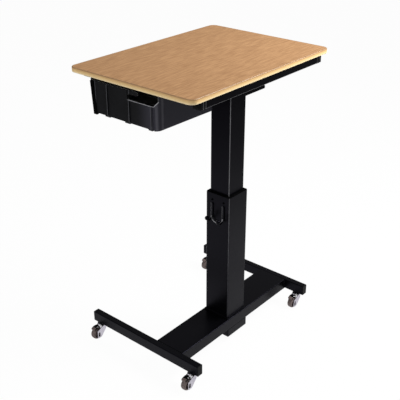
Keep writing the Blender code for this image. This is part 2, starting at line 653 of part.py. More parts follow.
def build_base(desk, steel, plastic):
    """Crossbeam, feet with end caps, the plate under the column and the spring's housing under the beam."""
    spring_hole = CYLINDER_RADIUS + SLIDE_GAP
    beam = rectangular_tube(BEAM_HEIGHT, BEAM_DEPTH, BEAM_CORNER, BEAM_WALL, BEAM_LENGTH)
    beam = moved(beam, (0, 0, -BEAM_LENGTH / 2), ALONG_X)
    place("crossbeam", carve(beam, [rod(spring_hole, -BEAM_HEIGHT, BEAM_HEIGHT)]), steel, desk,
          (0, 0, BEAM_BOTTOM + BEAM_HEIGHT / 2))

    base_plate = plate(PLATE_SIZE, PLATE_SIZE, PLATE_CORNER, PLATE_THICKNESS)
    plate_hole = rod(spring_hole, -PLATE_THICKNESS, 2 * PLATE_THICKNESS)
    place("column_base_plate", carve(base_plate, [plate_hole]), steel, desk, (0, 0, PLATE_BOTTOM))

    inside = inset_rectangle(HOUSING_WIDTH, BEAM_DEPTH, HOUSING_CORNER, HOUSING_WALL)
    housing = skin([
        rounded_rectangle(HOUSING_WIDTH, BEAM_DEPTH, HOUSING_CORNER, -HOUSING_HEIGHT),
        rounded_rectangle(HOUSING_WIDTH, BEAM_DEPTH, HOUSING_CORNER, 0),
        rounded_rectangle(*inside, 0),
        rounded_rectangle(*inside, HOUSING_WALL - HOUSING_HEIGHT),
    ])
    place("spring_housing", housing, steel, desk, (0, 0, HOUSING_TOP))

    tube_length = FOOT_LENGTH - 2 * FOOT_CAP_THICKNESS
    for side, sign in (("left", -1), ("right", 1)):
        foot = rectangular_tube(FOOT_WIDTH, FOOT_HEIGHT, FOOT_CORNER, FOOT_WALL, tube_length)
        foot = moved(foot, (0, 0, -tube_length / 2), ALONG_Y)
        middle = (sign * FOOT_X, FOOT_CENTRE_Y, FOOT_BOTTOM + FOOT_HEIGHT / 2)
        holes = []
        for y in CASTER_Y.values():
            hole = rod(STEM_THREAD_RADIUS + GAP, -FOOT_HEIGHT, 0)
            holes.append(moved(hole, (0, y - FOOT_CENTRE_Y, 0)))
        place(f"{side}_foot", carve(foot, holes), steel, desk, middle)
        for end_name, end in (("back", -1), ("front", 1)):
            cap = tube_cap(FOOT_WIDTH, FOOT_HEIGHT, FOOT_CORNER, FOOT_WALL, FOOT_CAP_THICKNESS,
                           FOOT_CAP_THICKNESS / 2)
            facing = Matrix.Rotation(-math.pi / 2 * end, 4, "X")
            place(f"{side}_foot_cap_{end_name}", moved(cap, facing), plastic, desk,
                  (middle[0], middle[1] + end * tube_length / 2, middle[2]))


def fork_shape():
    """The fork about its stem's axis, with its heights from the floor and its cheeks trailing to -X."""
    axle = (-CASTER_TRAIL, WHEEL_RADIUS)
    outline = [
        (CROWN_FRONT, CHEEK_KNEE),
        (CROWN_FRONT, FORK_TOP),
        (-CROWN_EAR, FORK_TOP),
        (-CROWN_EAR, CHEEK_NECK),
        (-CHEEK_REAR, CHEEK_SHOULDER),
        (-CHEEK_REAR, CHEEK_BOTTOM + CHEEK_CHAMFER),
        (-CHEEK_REAR + CHEEK_CHAMFER, CHEEK_BOTTOM),
        (-CHEEK_TOE, CHEEK_BOTTOM),
    ]
    half = WHEEL_WIDTH / 2 + CHEEK_GAP
    far = CASTER_TRAIL + 2 * WHEEL_RADIUS
    wheel_slot = block((-far, -half, -WHEEL_RADIUS), (far, half, CROWN_BOTTOM))
    pedal_slot = block((-far, -half, CROWN_BOTTOM - CHEEK_GAP), (-CROWN_REAR, half, 2 * FORK_TOP))
    stem_hole = rod(STEM_PIN_RADIUS + GAP, 0, 2 * FORK_TOP)
    axle_hole = moved(rod(AXLE_RADIUS + GAP, -FORK_WIDTH, FORK_WIDTH, SMALL_ROUND_STEPS), ALONG_Y,
                      (axle[0], 0, axle[1]))
    pedal_x, pedal_z = pedal_pivot()
    pedal_hole = moved(rod(PEDAL_PIN_RADIUS + GAP, -FORK_WIDTH, FORK_WIDTH, SMALL_ROUND_STEPS), ALONG_Y,
                       (pedal_x, 0, pedal_z))
    solid = extruded(outline, FORK_WIDTH)
    return carve(solid, [wheel_slot, pedal_slot, stem_hole, axle_hole, pedal_hole])


def pedal_pivot():
    """The pedal's pivot, near the front end of its arc over the wheel."""
    radius = WHEEL_RADIUS + PEDAL_CLEARANCE + PEDAL_THICKNESS / 2
    angle = math.radians(PEDAL_PIVOT)
    return -CASTER_TRAIL + radius * math.cos(angle), WHEEL_RADIUS + radius * math.sin(angle)


def pedal_shape():
    """The brake pedal about its pivot: a plate that follows the wheel, and the pin that it turns on."""
    pivot_x, pivot_z = pedal_pivot()
    centre = (-CASTER_TRAIL - pivot_x, WHEEL_RADIUS - pivot_z)
    near = WHEEL_RADIUS + PEDAL_CLEARANCE
    outline = arc(centre, near, PEDAL_START, PEDAL_END, BEND_STEPS)
    outline += arc(centre, near + PEDAL_THICKNESS, PEDAL_END, PEDAL_START, BEND_STEPS)
    pin = rod(PEDAL_PIN_RADIUS, -FORK_WIDTH / 2, FORK_WIDTH / 2, SMALL_ROUND_STEPS)
    return join(extruded(outline, PEDAL_WIDTH), [moved(pin, ALONG_Y)])


def wheel_shape():
    """The moulded wheel about its axle: a broad tread, and a hub and a tread joined by a thin web."""
    half = WHEEL_WIDTH / 2
    web = WEB_THICKNESS / 2
    bore = AXLE_RADIUS + GAP
    hub = bore + HUB_WALL
    tread = WHEEL_RADIUS - TREAD_THICKNESS
    side = [(bore, half), (hub, half), (hub, web), (tread, web), (tread, half),
            (WHEEL_RADIUS - TREAD_SHOULDER, half), (WHEEL_RADIUS, half - TREAD_SHOULDER)]
    other_side = [(radius, -z) for radius, z in reversed(side)]
    return moved(turned_ring(side + other_side), ALONG_Y)


def axle_shape():
    """A rivet along Y with a head outside each cheek."""
    half = FORK_WIDTH / 2 + GAP
    rivet = turned([
        (AXLE_HEAD_RADIUS, -half - AXLE_HEAD_HEIGHT),
        (AXLE_HEAD_RADIUS, -half),
        (AXLE_RADIUS, -half),
        (AXLE_RADIUS, half),
        (AXLE_HEAD_RADIUS, half),
        (AXLE_HEAD_RADIUS, half + AXLE_HEAD_HEIGHT),
    ], SMALL_ROUND_STEPS)
    return moved(rivet, ALONG_Y)


def stem_shape():
    """The threaded stem about the foot's underside: thread above, flange and swivel pin below."""
    return turned([
        (STEM_PIN_RADIUS, CROWN_BOTTOM - FOOT_BOTTOM),
        (STEM_PIN_RADIUS, -GAP - STEM_FLANGE_HEIGHT),
        (STEM_FLANGE_RADIUS, -GAP - STEM_FLANGE_HEIGHT),
        (STEM_FLANGE_RADIUS, -GAP),
        (STEM_THREAD_RADIUS, -GAP),
        (STEM_THREAD_RADIUS, STEM_THREAD_LENGTH),
    ])


def build_casters(desk, chrome, black_steel, rubber):
    """Four alike casters, which share their meshes."""
    shared = {
        "stem": finished_mesh("caster_stem", stem_shape()),
        "fork": finished_mesh("caster_fork", fork_shape()),
        "axle": finished_mesh("caster_axle", axle_shape()),
        "wheel": finished_mesh("caster_wheel", wheel_shape()),
        "pedal": finished_mesh("caster_pedal", pedal_shape()),
    }
    pivot_x, pivot_z = pedal_pivot()
    for side, x in (("left", -FOOT_X), ("right", FOOT_X)):
        for end, y in CASTER_Y.items():
            name = f"{side}_{end}"
            swivel = make_empty(f"{name}_swivel_axis", desk, (x, y, 0))
            axle = make_empty(f"{name}_wheel_axis", swivel, (-CASTER_TRAIL, 0, WHEEL_RADIUS))
            brake = make_empty(f"{name}_brake_axis", swivel, (pivot_x, 0, pivot_z))
            place(f"{name}_caster_stem", shared["stem"], black_steel, desk, (x, y, FOOT_BOTTOM))
            place(f"{name}_caster_fork", shared["fork"], chrome, swivel)
            place(f"{name}_caster_axle", shared["axle"], chrome, swivel, (-CASTER_TRAIL, 0, WHEEL_RADIUS))
            place(f"{name}_wheel", shared["wheel"], rubber, axle)
            place(f"{name}_brake_pedal", shared["pedal"], rubber, brake)


def build_book_box(lift, plastic, steel):
    """The open-topped book box with its scoop and ribs, and the two runners that carry its lips."""
    def outline(z, spread=0.0, inset=0.0, lip=0.0):
        length = BOX_LENGTH - 2 * BOX_END_DRAFT * (1 - spread)
        depth = BOX_DEPTH - 2 * BOX_SIDE_DRAFT * (1 - spread) + 2 * lip
        return rounded_rectangle(*inset_rectangle(length, depth, BOX_CORNER, inset), z)

    lip_spread = 1 - LIP_THICKNESS / BOX_HEIGHT
    floor_spread = BOX_WALL / BOX_HEIGHT
    shell = skin([
        outline(-BOX_HEIGHT),
        outline(-LIP_THICKNESS, lip_spread),
        outline(-LIP_THICKNESS, 1, lip=LIP_WIDTH),
        outline(0, 1, lip=LIP_WIDTH),
        outline(0, 1, inset=BOX_WALL),
        outline(BOX_WALL - BOX_HEIGHT, floor_spread, inset=BOX_WALL),
    ])
    front = -BOX_LENGTH / 2
    back = -BOX_DEPTH / 2
    ribs = []
    rib_spread = 1 - SCOOP_DROP / BOX_HEIGHT
    for index in range(RIB_COUNT):
        y = back + RIB_OFFSET + index * RIB_PITCH
        rows = []
        for z, spread in ((-BOX_HEIGHT, 0), (-SCOOP_DROP, rib_spread)):
            face = front + BOX_END_DRAFT * (1 - spread)
            low, high = y - RIB_WIDTH / 2, y + RIB_WIDTH / 2
            outer, root = face - RIB_PROUD, face + BOX_WALL / 2
            rows.append([(root, low, z), (outer, low, z), (outer, high, z), (root, high, z)])
        ribs.append(skin(rows))
    shell = join(shell, ribs)
    scoop_low = back + SCOOP_OFFSET
    scoop_high = scoop_low + SCOOP_WIDTH
    scoop_outline = [
        (scoop_high, BOX_WALL),
        (scoop_high, -SCOOP_DROP),
        (scoop_low, -SCOOP_DROP),
        (scoop_low - SCOOP_SPLAY, SCOOP_SPLAY_RISE - SCOOP_DROP),
        (scoop_low - SCOOP_SPLAY, BOX_WALL),
    ]
    scoop_ends = (front - 2 * RIB_PROUD, front + SCOOP_DEPTH)
    scoop = skin([[(x, y, z) for y, z in scoop_outline] for x in scoop_ends])
    carriage = make_empty("box_slide_axis", lift, (BOX_X, BOX_Y, BOX_TOP))
    place("book_box", carve(shell, [scoop]), plastic, carriage)

    web = BOX_DEPTH / 2 + RUNNER_WEB
    top = TOP_UNDERSIDE - GAP - BOX_TOP
    carry = -LIP_THICKNESS - GAP
    thick = RUNNER_THICKNESS
    section = [
        (web, carry),
        (web, top - thick),
        (web, top),
        (web + RUNNER_FLANGE, top),
        (web + RUNNER_FLANGE, top - thick),
        (web + thick, top - thick),
        (web + thick, carry - thick),
        (web - RUNNER_TOE, carry - thick),
        (web - RUNNER_TOE, carry),
    ]
    start = -BOX_LENGTH / 2 + BOX_CORNER
    for side, sign in (("back", -1), ("front", 1)):
        rows = [[(x, sign * y, z) for y, z in section] for x in (start, start + RUNNER_LENGTH)]
        place(f"{side}_box_runner", skin(rows), steel, lift, (BOX_X, BOX_Y, BOX_TOP))


def hook_path():
    """Pairs of a point on the hook's middle line and its side direction, in (x, z) from the hook's top."""
    radius = HOOK_BEND + HOOK_THICKNESS / 2
    back = -GAP - HOOK_THICKNESS / 2
    path = [((back, 0), (1, 0)), ((back, -HOOK_DROP), (1, 0))]
    centre = (back - radius, -HOOK_DROP)
    for step in range(1, BEND_STEPS + 1):
        angle = math.pi * step / BEND_STEPS
        side = (math.cos(angle), -math.sin(angle))
        path.append(((centre[0] + radius * side[0], centre[1] + radius * side[1]), side))
    path.append(((centre[0] - radius, HOOK_TIP - HOOK_DROP), (-1, 0)))
    return path


def build_hooks(desk, steel, screw_finish):
    """Two bent steel hooks for bags near the top of the outer column, each held by one screw."""
    face = -OUTER_SIZE / 2
    for side, sign in (("front", 1), ("back", -1)):
        rows = []
        half, thick = HOOK_WIDTH / 2, HOOK_THICKNESS / 2
        for (x, z), (side_x, side_z) in hook_path():
            outer = (x + thick * side_x, z + thick * side_z)
            inner = (x - thick * side_x, z - thick * side_z)
            rows.append([(outer[0], -half, outer[1]), (outer[0], half, outer[1]),
                         (inner[0], half, inner[1]), (inner[0], -half, inner[1])])
        hole = rod(SCREW_RADIUS + GAP, -2 * HOOK_THICKNESS, 2 * HOOK_THICKNESS, SMALL_ROUND_STEPS)
        hook = carve(skin(rows), [moved(hole, ALONG_X, (-GAP - thick, 0, -SCREW_DROP))])
        place(f"{side}_bag_hook", hook, steel, desk, (face, sign * HOOK_SPACING / 2, HOOK_TOP))

        outside = GAP + HOOK_THICKNESS + GAP
        screw = turned([
            (SCREW_HEAD_RADIUS, outside + SCREW_HEAD_HEIGHT),
            (SCREW_HEAD_RADIUS, outside),
            (SCREW_RADIUS, outside),
            (SCREW_RADIUS, -OUTER_WALL),
        ], SMALL_ROUND_STEPS)
        facing = Matrix.Rotation(-math.pi / 2, 4, "Y")
        place(f"{side}_hook_screw", moved(screw, facing), screw_finish, desk,
              (face, sign * HOOK_SPACING / 2, HOOK_TOP - SCREW_DROP))


def main():
    clear_scene()
    wood = make_material("beech_laminate", (0.62, 0.42, 0.24), 0.45)
    band = make_material("beech_edge_band", (0.72, 0.54, 0.33), 0.4)
    steel = make_material("black_powder_coat", (0.018, 0.018, 0.02), 0.5)
    plastic = make_material("black_plastic", (0.015, 0.015, 0.016), 0.55)
    chrome = make_material("chrome", (0.75, 0.75, 0.77), 0.12, 1.0)
    dark_steel = make_material("dark_steel", (0.05, 0.05, 0.055), 0.35, 1.0)
    taupe = make_material("taupe_rubber", (0.30, 0.25, 0.23), 0.6)

    desk = make_empty("desk", None, (-DESK_CENTRE_X, -DESK_CENTRE_Y, 0))
    lift = make_empty("lift_axis", desk)
    build_worktop(lift, wood, band)
    build_top_frame(lift, steel, plastic)
    build_column(desk, lift, steel, plastic)
    build_gas_spring(desk, lift, dark_steel, chrome)
    build_release_lever(lift, steel, chrome)
    build_base(desk, steel, plastic)
    build_casters(desk, chrome, dark_steel, taupe)
    build_book_box(lift, plastic, steel)
    build_hooks(desk, steel, dark_steel)


main()
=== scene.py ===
# %% [markdown]
# # A sit-to-stand school desk
#
# A small desk on casters: a beech worktop on a column that slides in and out, with a plastic book box
# under it and two bag hooks on the column. Its solids come packed from CAD, in metres, each on the body
# that it moves with. Where a solid has the right shape it stays and only gets a finish. Where the real
# thing is rounder or finer, a new piece is modelled here and takes the solid's place.

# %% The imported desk
import math

import bmesh
import bpy
from mathutils import Matrix, Vector


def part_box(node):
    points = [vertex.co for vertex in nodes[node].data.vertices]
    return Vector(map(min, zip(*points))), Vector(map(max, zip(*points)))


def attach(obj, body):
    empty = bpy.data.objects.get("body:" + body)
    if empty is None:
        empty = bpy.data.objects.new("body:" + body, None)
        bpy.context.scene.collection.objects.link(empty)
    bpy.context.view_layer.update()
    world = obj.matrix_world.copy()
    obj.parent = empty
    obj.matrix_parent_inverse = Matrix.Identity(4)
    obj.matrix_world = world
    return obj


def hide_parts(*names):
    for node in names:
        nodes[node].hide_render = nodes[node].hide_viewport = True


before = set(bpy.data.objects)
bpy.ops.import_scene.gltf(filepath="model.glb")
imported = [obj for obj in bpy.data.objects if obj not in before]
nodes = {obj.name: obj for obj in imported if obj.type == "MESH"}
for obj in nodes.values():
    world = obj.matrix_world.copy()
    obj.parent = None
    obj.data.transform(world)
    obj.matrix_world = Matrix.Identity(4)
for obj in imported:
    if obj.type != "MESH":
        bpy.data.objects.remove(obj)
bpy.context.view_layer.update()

# %% [markdown]
# ## The camera
#
# The picture was taken from behind the desk's back left corner, about 0.7 m higher than the worktop. A
# camera could be placed by eye, but the edges of the desk fix it: its place, direction and lens come
# from a fit to about 150 points on straight edges. The lens has no shift and the picture no roll.

# %% Camera
EYE = Vector((-1.8497, -1.5418, 1.7294))
LOOK = Vector((0.6841, 0.5753, -0.4483))
LENS = 67.58  # mm
SENSOR = 36.0  # mm wide


def add_object(name, data):
    item = bpy.data.objects.new(name, data)
    bpy.context.scene.collection.objects.link(item)
    return item


def aimed(place, direction, axis="-Z"):
    """The matrix that puts a thing at a place and turns one of its axes along a direction."""
    return Matrix.Translation(place) @ direction.to_track_quat(axis, "Y").to_matrix().to_4x4()


photo_view = bpy.data.cameras.new("photo_view")
photo_view.lens = LENS
photo_view.sensor_width = SENSOR
camera = add_object("photo_view", photo_view)
camera.matrix_world = aimed(EYE, LOOK)
bpy.context.scene.camera = camera
bpy.context.scene.view_settings.view_transform = "Standard"
print("camera at", tuple(EYE), "lens", LENS, "mm")

# %% [markdown]
# ## A small language for shaders
#
# A finish is a graph of nodes, and long lists of links are hard to read. So a `Wire` stands for the
# output of a node, and adding or multiplying wires adds the Math nodes: `1 - mask` works as it reads.
# Every other node comes from `Graph.node`, which takes the type, the settings and the sockets.

# %% Wires and graphs
class Wire:
    """One output of a node, which can be used in sums."""

    def __init__(self, graph, socket):
        self.graph = graph
        self.socket = socket

    def out(self, name):
        """Another output of the same node."""
        return Wire(self.graph, self.socket.node.outputs[name])

    def maths(self, operation, *values):
        return self.graph.node("ShaderNodeMath", {"operation": operation}, dict(enumerate(values)))

    def __add__(self, other):
        return self.maths("ADD", self, other)

    __radd__ = __add__

    def __sub__(self, other):
        return self.maths("SUBTRACT", self, other)

    def __rsub__(self, other):
        return self.maths("SUBTRACT", other, self)

    def __mul__(self, other):
        return self.maths("MULTIPLY", self, other)

    __rmul__ = __mul__

    def __pow__(self, other):
        return self.maths("POWER", self, other)

    def __abs__(self):
        return self.maths("ABSOLUTE", self)

    def smallest(self, other):
        return self.maths("MINIMUM", self, other)

    def largest(self, other):
        return self.maths("MAXIMUM", self, other)


class Graph:
    """The node tree of a finish, or of the room."""

    def __init__(self, tree):
        self.tree = tree

    def join(self, value, socket):
        if isinstance(value, Wire):
            self.tree.links.new(value.socket, socket)
        else:
            socket.default_value = value

    def node(self, kind, settings=None, sockets=None, output=0):
        """Adds a node: its settings first, then its sockets, and returns one of its outputs."""
        made = self.tree.nodes.new(kind)
        for name, value in (settings or {}).items():
            if name == "stops":
                ramp = made.color_ramp
                for index, (place, colour) in enumerate(value):
                    stop = ramp.elements[index] if index < 2 else ramp.elements.new(place)
                    stop.position = place
                    stop.color = (*colour, 1.0)
            else:
                setattr(made, name, value)
        for name, value in (sockets or {}).items():
            self.join(value, made.inputs[name])
        return Wire(self, made.outputs[output])

    def position(self):
        """The point on the surface, in metres in the desk's frame."""
        return self.node("ShaderNodeTexCoord", output="Object")

    def apart(self, vector):
        """The three numbers of a vector."""
        split = self.node("ShaderNodeSeparateXYZ", sockets={"Vector": vector})
        return split, split.out("Y"), split.out("Z")

    def noise(self, vector, scale, detail, roughness=0.5):
        """Noise with so many waves to a metre. A scale for each axis stretches it."""
        if isinstance(scale, tuple):
            vector = self.node("ShaderNodeMapping", sockets={"Vector": vector, "Scale": scale})
            scale = 1.0
        sockets = {"Vector": vector, "Scale": scale, "Detail": detail, "Roughness": roughness}
        return self.node("ShaderNodeTexNoise", sockets=sockets)

    def between(self, value, low, high):
        """0 below low, 1 above high, and a smooth rise from one to the other."""
        sockets = {"Value": value, "From Min": low, "From Max": high}
        return self.node("ShaderNodeMapRange", {"interpolation_type": "SMOOTHSTEP"}, sockets)

    def mixed(self, share, first, second):
        """A colour between two colours (a Mix node numbers its colour sockets 6, 7 and output 2)."""
        first = (*first, 1.0) if isinstance(first, tuple) else first
        second = (*second, 1.0) if isinstance(second, tuple) else second
        sockets = {0: share, 6: first, 7: second}
        return self.node("ShaderNodeMix", {"data_type": "RGBA"}, sockets, output=2)

    def bump(self, height, distance, strength):
        sockets = {"Height": height, "Distance": distance, "Strength": strength}
        return self.node("ShaderNodeBump", sockets=sockets)

    def rays(self):
        """1 for rays from the camera, and 1 for rays that a shiny or clear surface sent on."""
        seen = self.node("ShaderNodeLightPath", output="Is Camera Ray")
        return seen, seen.out("Is Glossy Ray").largest(seen.out("Is Transmission Ray"))

    def dress(self, inputs, colour, roughness, normal):
        """Links what varies over a surface to its shader."""
        self.join(colour, inputs["Base Color"])
        self.join(roughness, inputs["Roughness"])
        self.join(normal, inputs["Normal"])


print("shader language ready")

# %% [markdown]
# ## Room, floor and light
#
# The desk was photographed on white paper. The camera sees that paper as pure white, and so do shiny
# surfaces, but only near the desk: further off the paper gets less light, which is why the black column
# is nearly black at its top. Light Path tells these rays apart, so the desk itself gets no extra light.

# %% Room
BLACK = (0.0, 0.0, 0.0)
WHITE = (1.0, 1.0, 1.0)
ROOM_LIGHT = 0.18  # what the room adds to plain surfaces from every side
ROOM_GLOSS = 0.30  # how bright the far room is in shiny surfaces

room = bpy.data.worlds.new("studio")
room.use_nodes = True
bpy.context.scene.world = room
sky = Graph(room.node_tree)
seen, mirrored = sky.rays()
unseen = ROOM_LIGHT + mirrored * (ROOM_GLOSS - ROOM_LIGHT)
level = unseen + seen * (1 - unseen)
sky.join(sky.mixed(level, BLACK, WHITE), room.node_tree.nodes["Background"].inputs["Color"])
print("room light", ROOM_LIGHT)

# %% Floor
FLOOR_SIZE = 14.0
FLOOR_GLOW = 0.97  # share of pure white in what the camera sees; the rest keeps the shadow
GLOSS_MIDDLE = (-0.1, 0.1, 0.0)
GLOSS_NEAR = 0.8  # the paper is at its brightest to here, from the middle
GLOSS_FAR = 2.1
GLOSS_LEVEL = 0.95
GLOSS_REST = 0.20
PAPER = (0.86, 0.86, 0.86, 1.0)


def finished_mesh(name, shape):
    """Turns a bmesh into a mesh."""
    mesh = bpy.data.meshes.new(name)
    shape.to_mesh(mesh)
    shape.free()
    return mesh


paper_shape = bmesh.new()
bmesh.ops.create_grid(paper_shape, x_segments=2, y_segments=2, size=FLOOR_SIZE / 2)
paper_mesh = finished_mesh("floor", paper_shape)
floor = add_object("floor", paper_mesh)

paper_finish = bpy.data.materials.new("white_paper")
paper_finish.use_nodes = True
paper_mesh.materials.append(paper_finish)
graph = Graph(paper_finish.node_tree)
seen, mirrored = graph.rays()
spread = graph.node("ShaderNodeVectorMath", {"operation": "DISTANCE"},
                    {0: graph.position(), 1: GLOSS_MIDDLE}, output="Value")
lit = GLOSS_REST + (GLOSS_LEVEL - GLOSS_REST) * (1 - graph.between(spread, GLOSS_NEAR, GLOSS_FAR))
white = graph.mixed(seen + mirrored * lit, BLACK, WHITE)
glow = graph.node("ShaderNodeEmission", sockets={"Color": white})
plain = graph.node("ShaderNodeBsdfDiffuse", sockets={"Color": PAPER})
share = seen * FLOOR_GLOW + mirrored
shown = graph.node("ShaderNodeMixShader", sockets={0: share, 1: plain, 2: glow})
graph.join(shown, paper_finish.node_tree.nodes["Material Output"].inputs["Surface"])
print("floor", FLOOR_SIZE, "m wide")


# %% Lamps
def softbox(name, place, target, size, power):
    """A square lamp behind white cloth: wide, so that its shadows are soft."""
    lamp = bpy.data.lights.new(name, "AREA")
    lamp.shape = "SQUARE"
    lamp.size = size
    lamp.energy = power
    holder = add_object(name, lamp)
    holder.matrix_world = aimed(place, Vector(target) - Vector(place))
    holder.visible_camera = False


softbox("key_softbox", (1.3, -1.3, 2.4), (0.0, 0.0, 0.9), 1.3, 92.0)
softbox("side_softbox", (-2.6, 0.3, 1.9), (0.0, 0.0, 0.7), 1.4, 25.0)
softbox("top_softbox", (0.3, 0.2, 3.2), (0.0, 0.0, 0.8), 1.8, 4.0)
print("three softboxes")

# %% [markdown]
# ## Black powder coat
#
# The steel is painted with powder that melts into a thick satin skin. Its surface has the faint waves
# that painters call orange peel. A lighter colour is painted along some corners and edges as a
# highlight, where light would catch them. The paint is nearly black, and what shows on it is the white
# floor in its gloss, so the gloss level matters more than the colour.

# %% Powder coat
COAT_BLACK = (0.0008, 0.0008, 0.0010)
COAT_GREY = (0.0018, 0.0018, 0.0022)
# painted highlight: the colour of corners and edges where light would catch them
COAT_HIGHLIGHT = (0.270, 0.268, 0.280)
COAT_TINT = (0.68, 0.64, 1.0, 1.0)
COAT_GLOSS = 0.118  # on the tube that slides
BASE_GLOSS = 0.100  # duller on everything else
PEEL = 520.0  # waves to a metre, near 2 mm each
TUBE_CORNER = 0.0035


def node_box(name):
    """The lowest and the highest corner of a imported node's box."""
    return [Vector(corner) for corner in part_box(name)]


def new_finish(name, fixed):
    """A material with the values that are the same all over it, its graph, its sockets and a position."""
    material = bpy.data.materials.new(name)
    material.use_nodes = True
    inputs = material.node_tree.nodes["Principled BSDF"].inputs
    for socket, value in fixed.items():
        inputs[socket].default_value = value
    graph = Graph(material.node_tree)
    return material, graph, inputs, graph.position()


def powder_coat(name, gloss, highlight_mask=None):
    """Satin black, with a lighter highlight painted in where the optional mask function puts it."""
    fixed = {"Specular IOR Level": gloss, "Specular Tint": COAT_TINT}
    material, graph, inputs, spot = new_finish(name, fixed)
    cloud = graph.noise(spot, 9.0, 3.0)
    colour = graph.mixed(cloud, COAT_BLACK, COAT_GREY)
    rough = 0.30 + 0.10 * graph.noise(spot, 45.0, 3.0)
    if highlight_mask is not None:
        # the painted highlight, a little patchy along its mask
        highlight = highlight_mask(graph, spot) * (0.45 + 0.75 * graph.noise(spot, 26.0, 4.0))
        colour = graph.mixed(highlight, colour, COAT_HIGHLIGHT)
        rough = rough - 0.08 * highlight
    graph.dress(inputs, colour, rough, graph.bump(graph.noise(spot, PEEL, 1.0), 0.00012, 0.5))
    return material


def tube_corner_highlights(node, foot_share, top_share):
    """The mask of a highlight painted on a square tube's four rounded corners, with its strength at the
    foot and at the top.
    """
    low, high = node_box(node)
    middle = (low + high) / 2
    half = (high.x - low.x) / 2

    def mask(graph, spot):
        x, y, z = graph.apart(spot)
        inward = abs(x - middle.x).smallest(abs(y - middle.y))
        strength = foot_share + (top_share - foot_share) * graph.between(z, low.z, high.z)
        return strength * graph.between(inward, half - 0.75 * TUBE_CORNER, half - 0.45 * TUBE_CORNER)

    return mask


def lower_edge_highlight(node, width):
    """The mask of a highlight painted along a bar's lower edge."""
    foot = node_box(node)[0].z

    def mask(graph, spot):
        return 1 - graph.between(graph.apart(spot)[2], foot + 0.6 * width, foot + 1.4 * width)

    return mask


coat = powder_coat("powder_coat", BASE_GLOSS)
outer_corner_highlights = tube_corner_highlights("outer_column", 0.10, 0.55)
inner_corner_highlights = tube_corner_highlights("inner_column", 0.80, 1.0)
outer_coat = powder_coat("powder_coat_outer_column", BASE_GLOSS, outer_corner_highlights)
inner_coat = powder_coat("powder_coat_inner_column", COAT_GLOSS, inner_corner_highlights)
rail_coat = powder_coat("powder_coat_rail", BASE_GLOSS, lower_edge_highlight("back_rail", 0.0012))
print("powder coat in four kinds")

# %% [markdown]
# ## Beech laminate and its moulded edge
#
# The worktop is a board with a printed beech sheet on it. The print has long pale and dark bands, fine
# lines along the grain, and the short dark dashes that mark beech. Each is noise that is stretched along
# X, at its own scale. The underside has a plain brown backing sheet, found by its height.

# %% Laminate
BEECH_PALE = (0.474, 0.268, 0.129)
BEECH_DARK = (0.340, 0.180, 0.082)
BEECH_DASH = (0.250, 0.122, 0.052)
BACKING = (0.045, 0.036, 0.030)

board_low, board_high = node_box("worktop_board")


def beech_laminate():
    material, graph, inputs, spot = new_finish("beech_laminate", {"Specular IOR Level": 0.16})
    bands = graph.noise(spot, (1.44, 14.4, 14.4), 2.0)
    lines = graph.noise(spot, (16.0, 240.0, 240.0), 2.0, 0.6)
    fibres = graph.noise(spot, (30.0, 620.0, 620.0), 2.0)
    tone = 0.06 * bands + 0.66 * lines + 0.28 * fibres
    colour = graph.mixed(graph.between(tone, 0.38, 0.62), BEECH_PALE, BEECH_DARK)
    dashes = graph.between(graph.noise(spot, (95.0, 900.0, 900.0), 1.0), 0.66, 0.76)
    colour = graph.mixed(0.55 * dashes, colour, BEECH_DASH)
    height = graph.apart(spot)[2]
    upper = graph.between(height, board_low.z + 0.0005, board_low.z + 0.0015)
    graph.dress(inputs, graph.mixed(upper, BACKING, colour), 0.50 + 0.10 * fibres + 0.10 * dashes,
                graph.bump(fibres - 0.6 * dashes, 0.00005, 0.4))
    return material


laminate = beech_laminate()
print("laminate over a board", round((board_high.z - board_low.z) * 1000, 1), "mm thick")

# %% Moulded edge
# painted light and shade by height: the lower rim pale as if lit by the white floor, the upper rim tan
EDGE_LIGHT_AND_SHADE = [(0.0, (0.980, 0.810, 0.520)), (0.25, (0.920, 0.680, 0.345)), (0.50, (0.820, 0.560, 0.255)),
              (0.76, (0.680, 0.425, 0.185)), (0.88, (0.440, 0.252, 0.112)), (1.0, (0.370, 0.210, 0.100))]
EDGE_DEEP = (0.600, 0.390, 0.180)

band_low, band_high = node_box("worktop_edge_band")


def moulded_edge():
    """Cream plastic, smooth and fairly glossy, with light and shade painted in by height: tan on top,
    pale below.
    """
    material, graph, inputs, spot = new_finish("moulded_edge", {"Specular IOR Level": 0.5})
    share = (graph.apart(spot)[2] - band_low.z) * (1 / (band_high.z - band_low.z))
    share = share + 0.06 * (graph.noise(spot, 14.0, 3.0) - 0.5)
    # the painted light and shade, by height
    colour = graph.node("ShaderNodeValToRGB", {"stops": EDGE_LIGHT_AND_SHADE}, {"Fac": share})
    scuffs = graph.between(graph.noise(spot, (60.0, 60.0, 260.0), 3.0), 0.60, 0.72)
    graph.dress(inputs, graph.mixed(0.20 * scuffs, colour, EDGE_DEEP),
                0.38 + 0.10 * graph.noise(spot, 80.0, 2.0) + 0.10 * scuffs,
                graph.bump(graph.noise(spot, 260.0, 1.0), 0.00008, 0.3))
    return material


edge_cream = moulded_edge()
print("moulded edge", round((band_high.z - band_low.z) * 1000, 1), "mm tall")

# %% [markdown]
# ## Plastics, rubber and bare metals
#
# The book box is moulded in charcoal plastic whose mould was etched, which leaves a fine grain. The caps
# and guides are plainer black plastic, the wheels and pedals are taupe. The casters are chromed, and
# chrome is only as good as its smudges: the roughness varies a little over it.

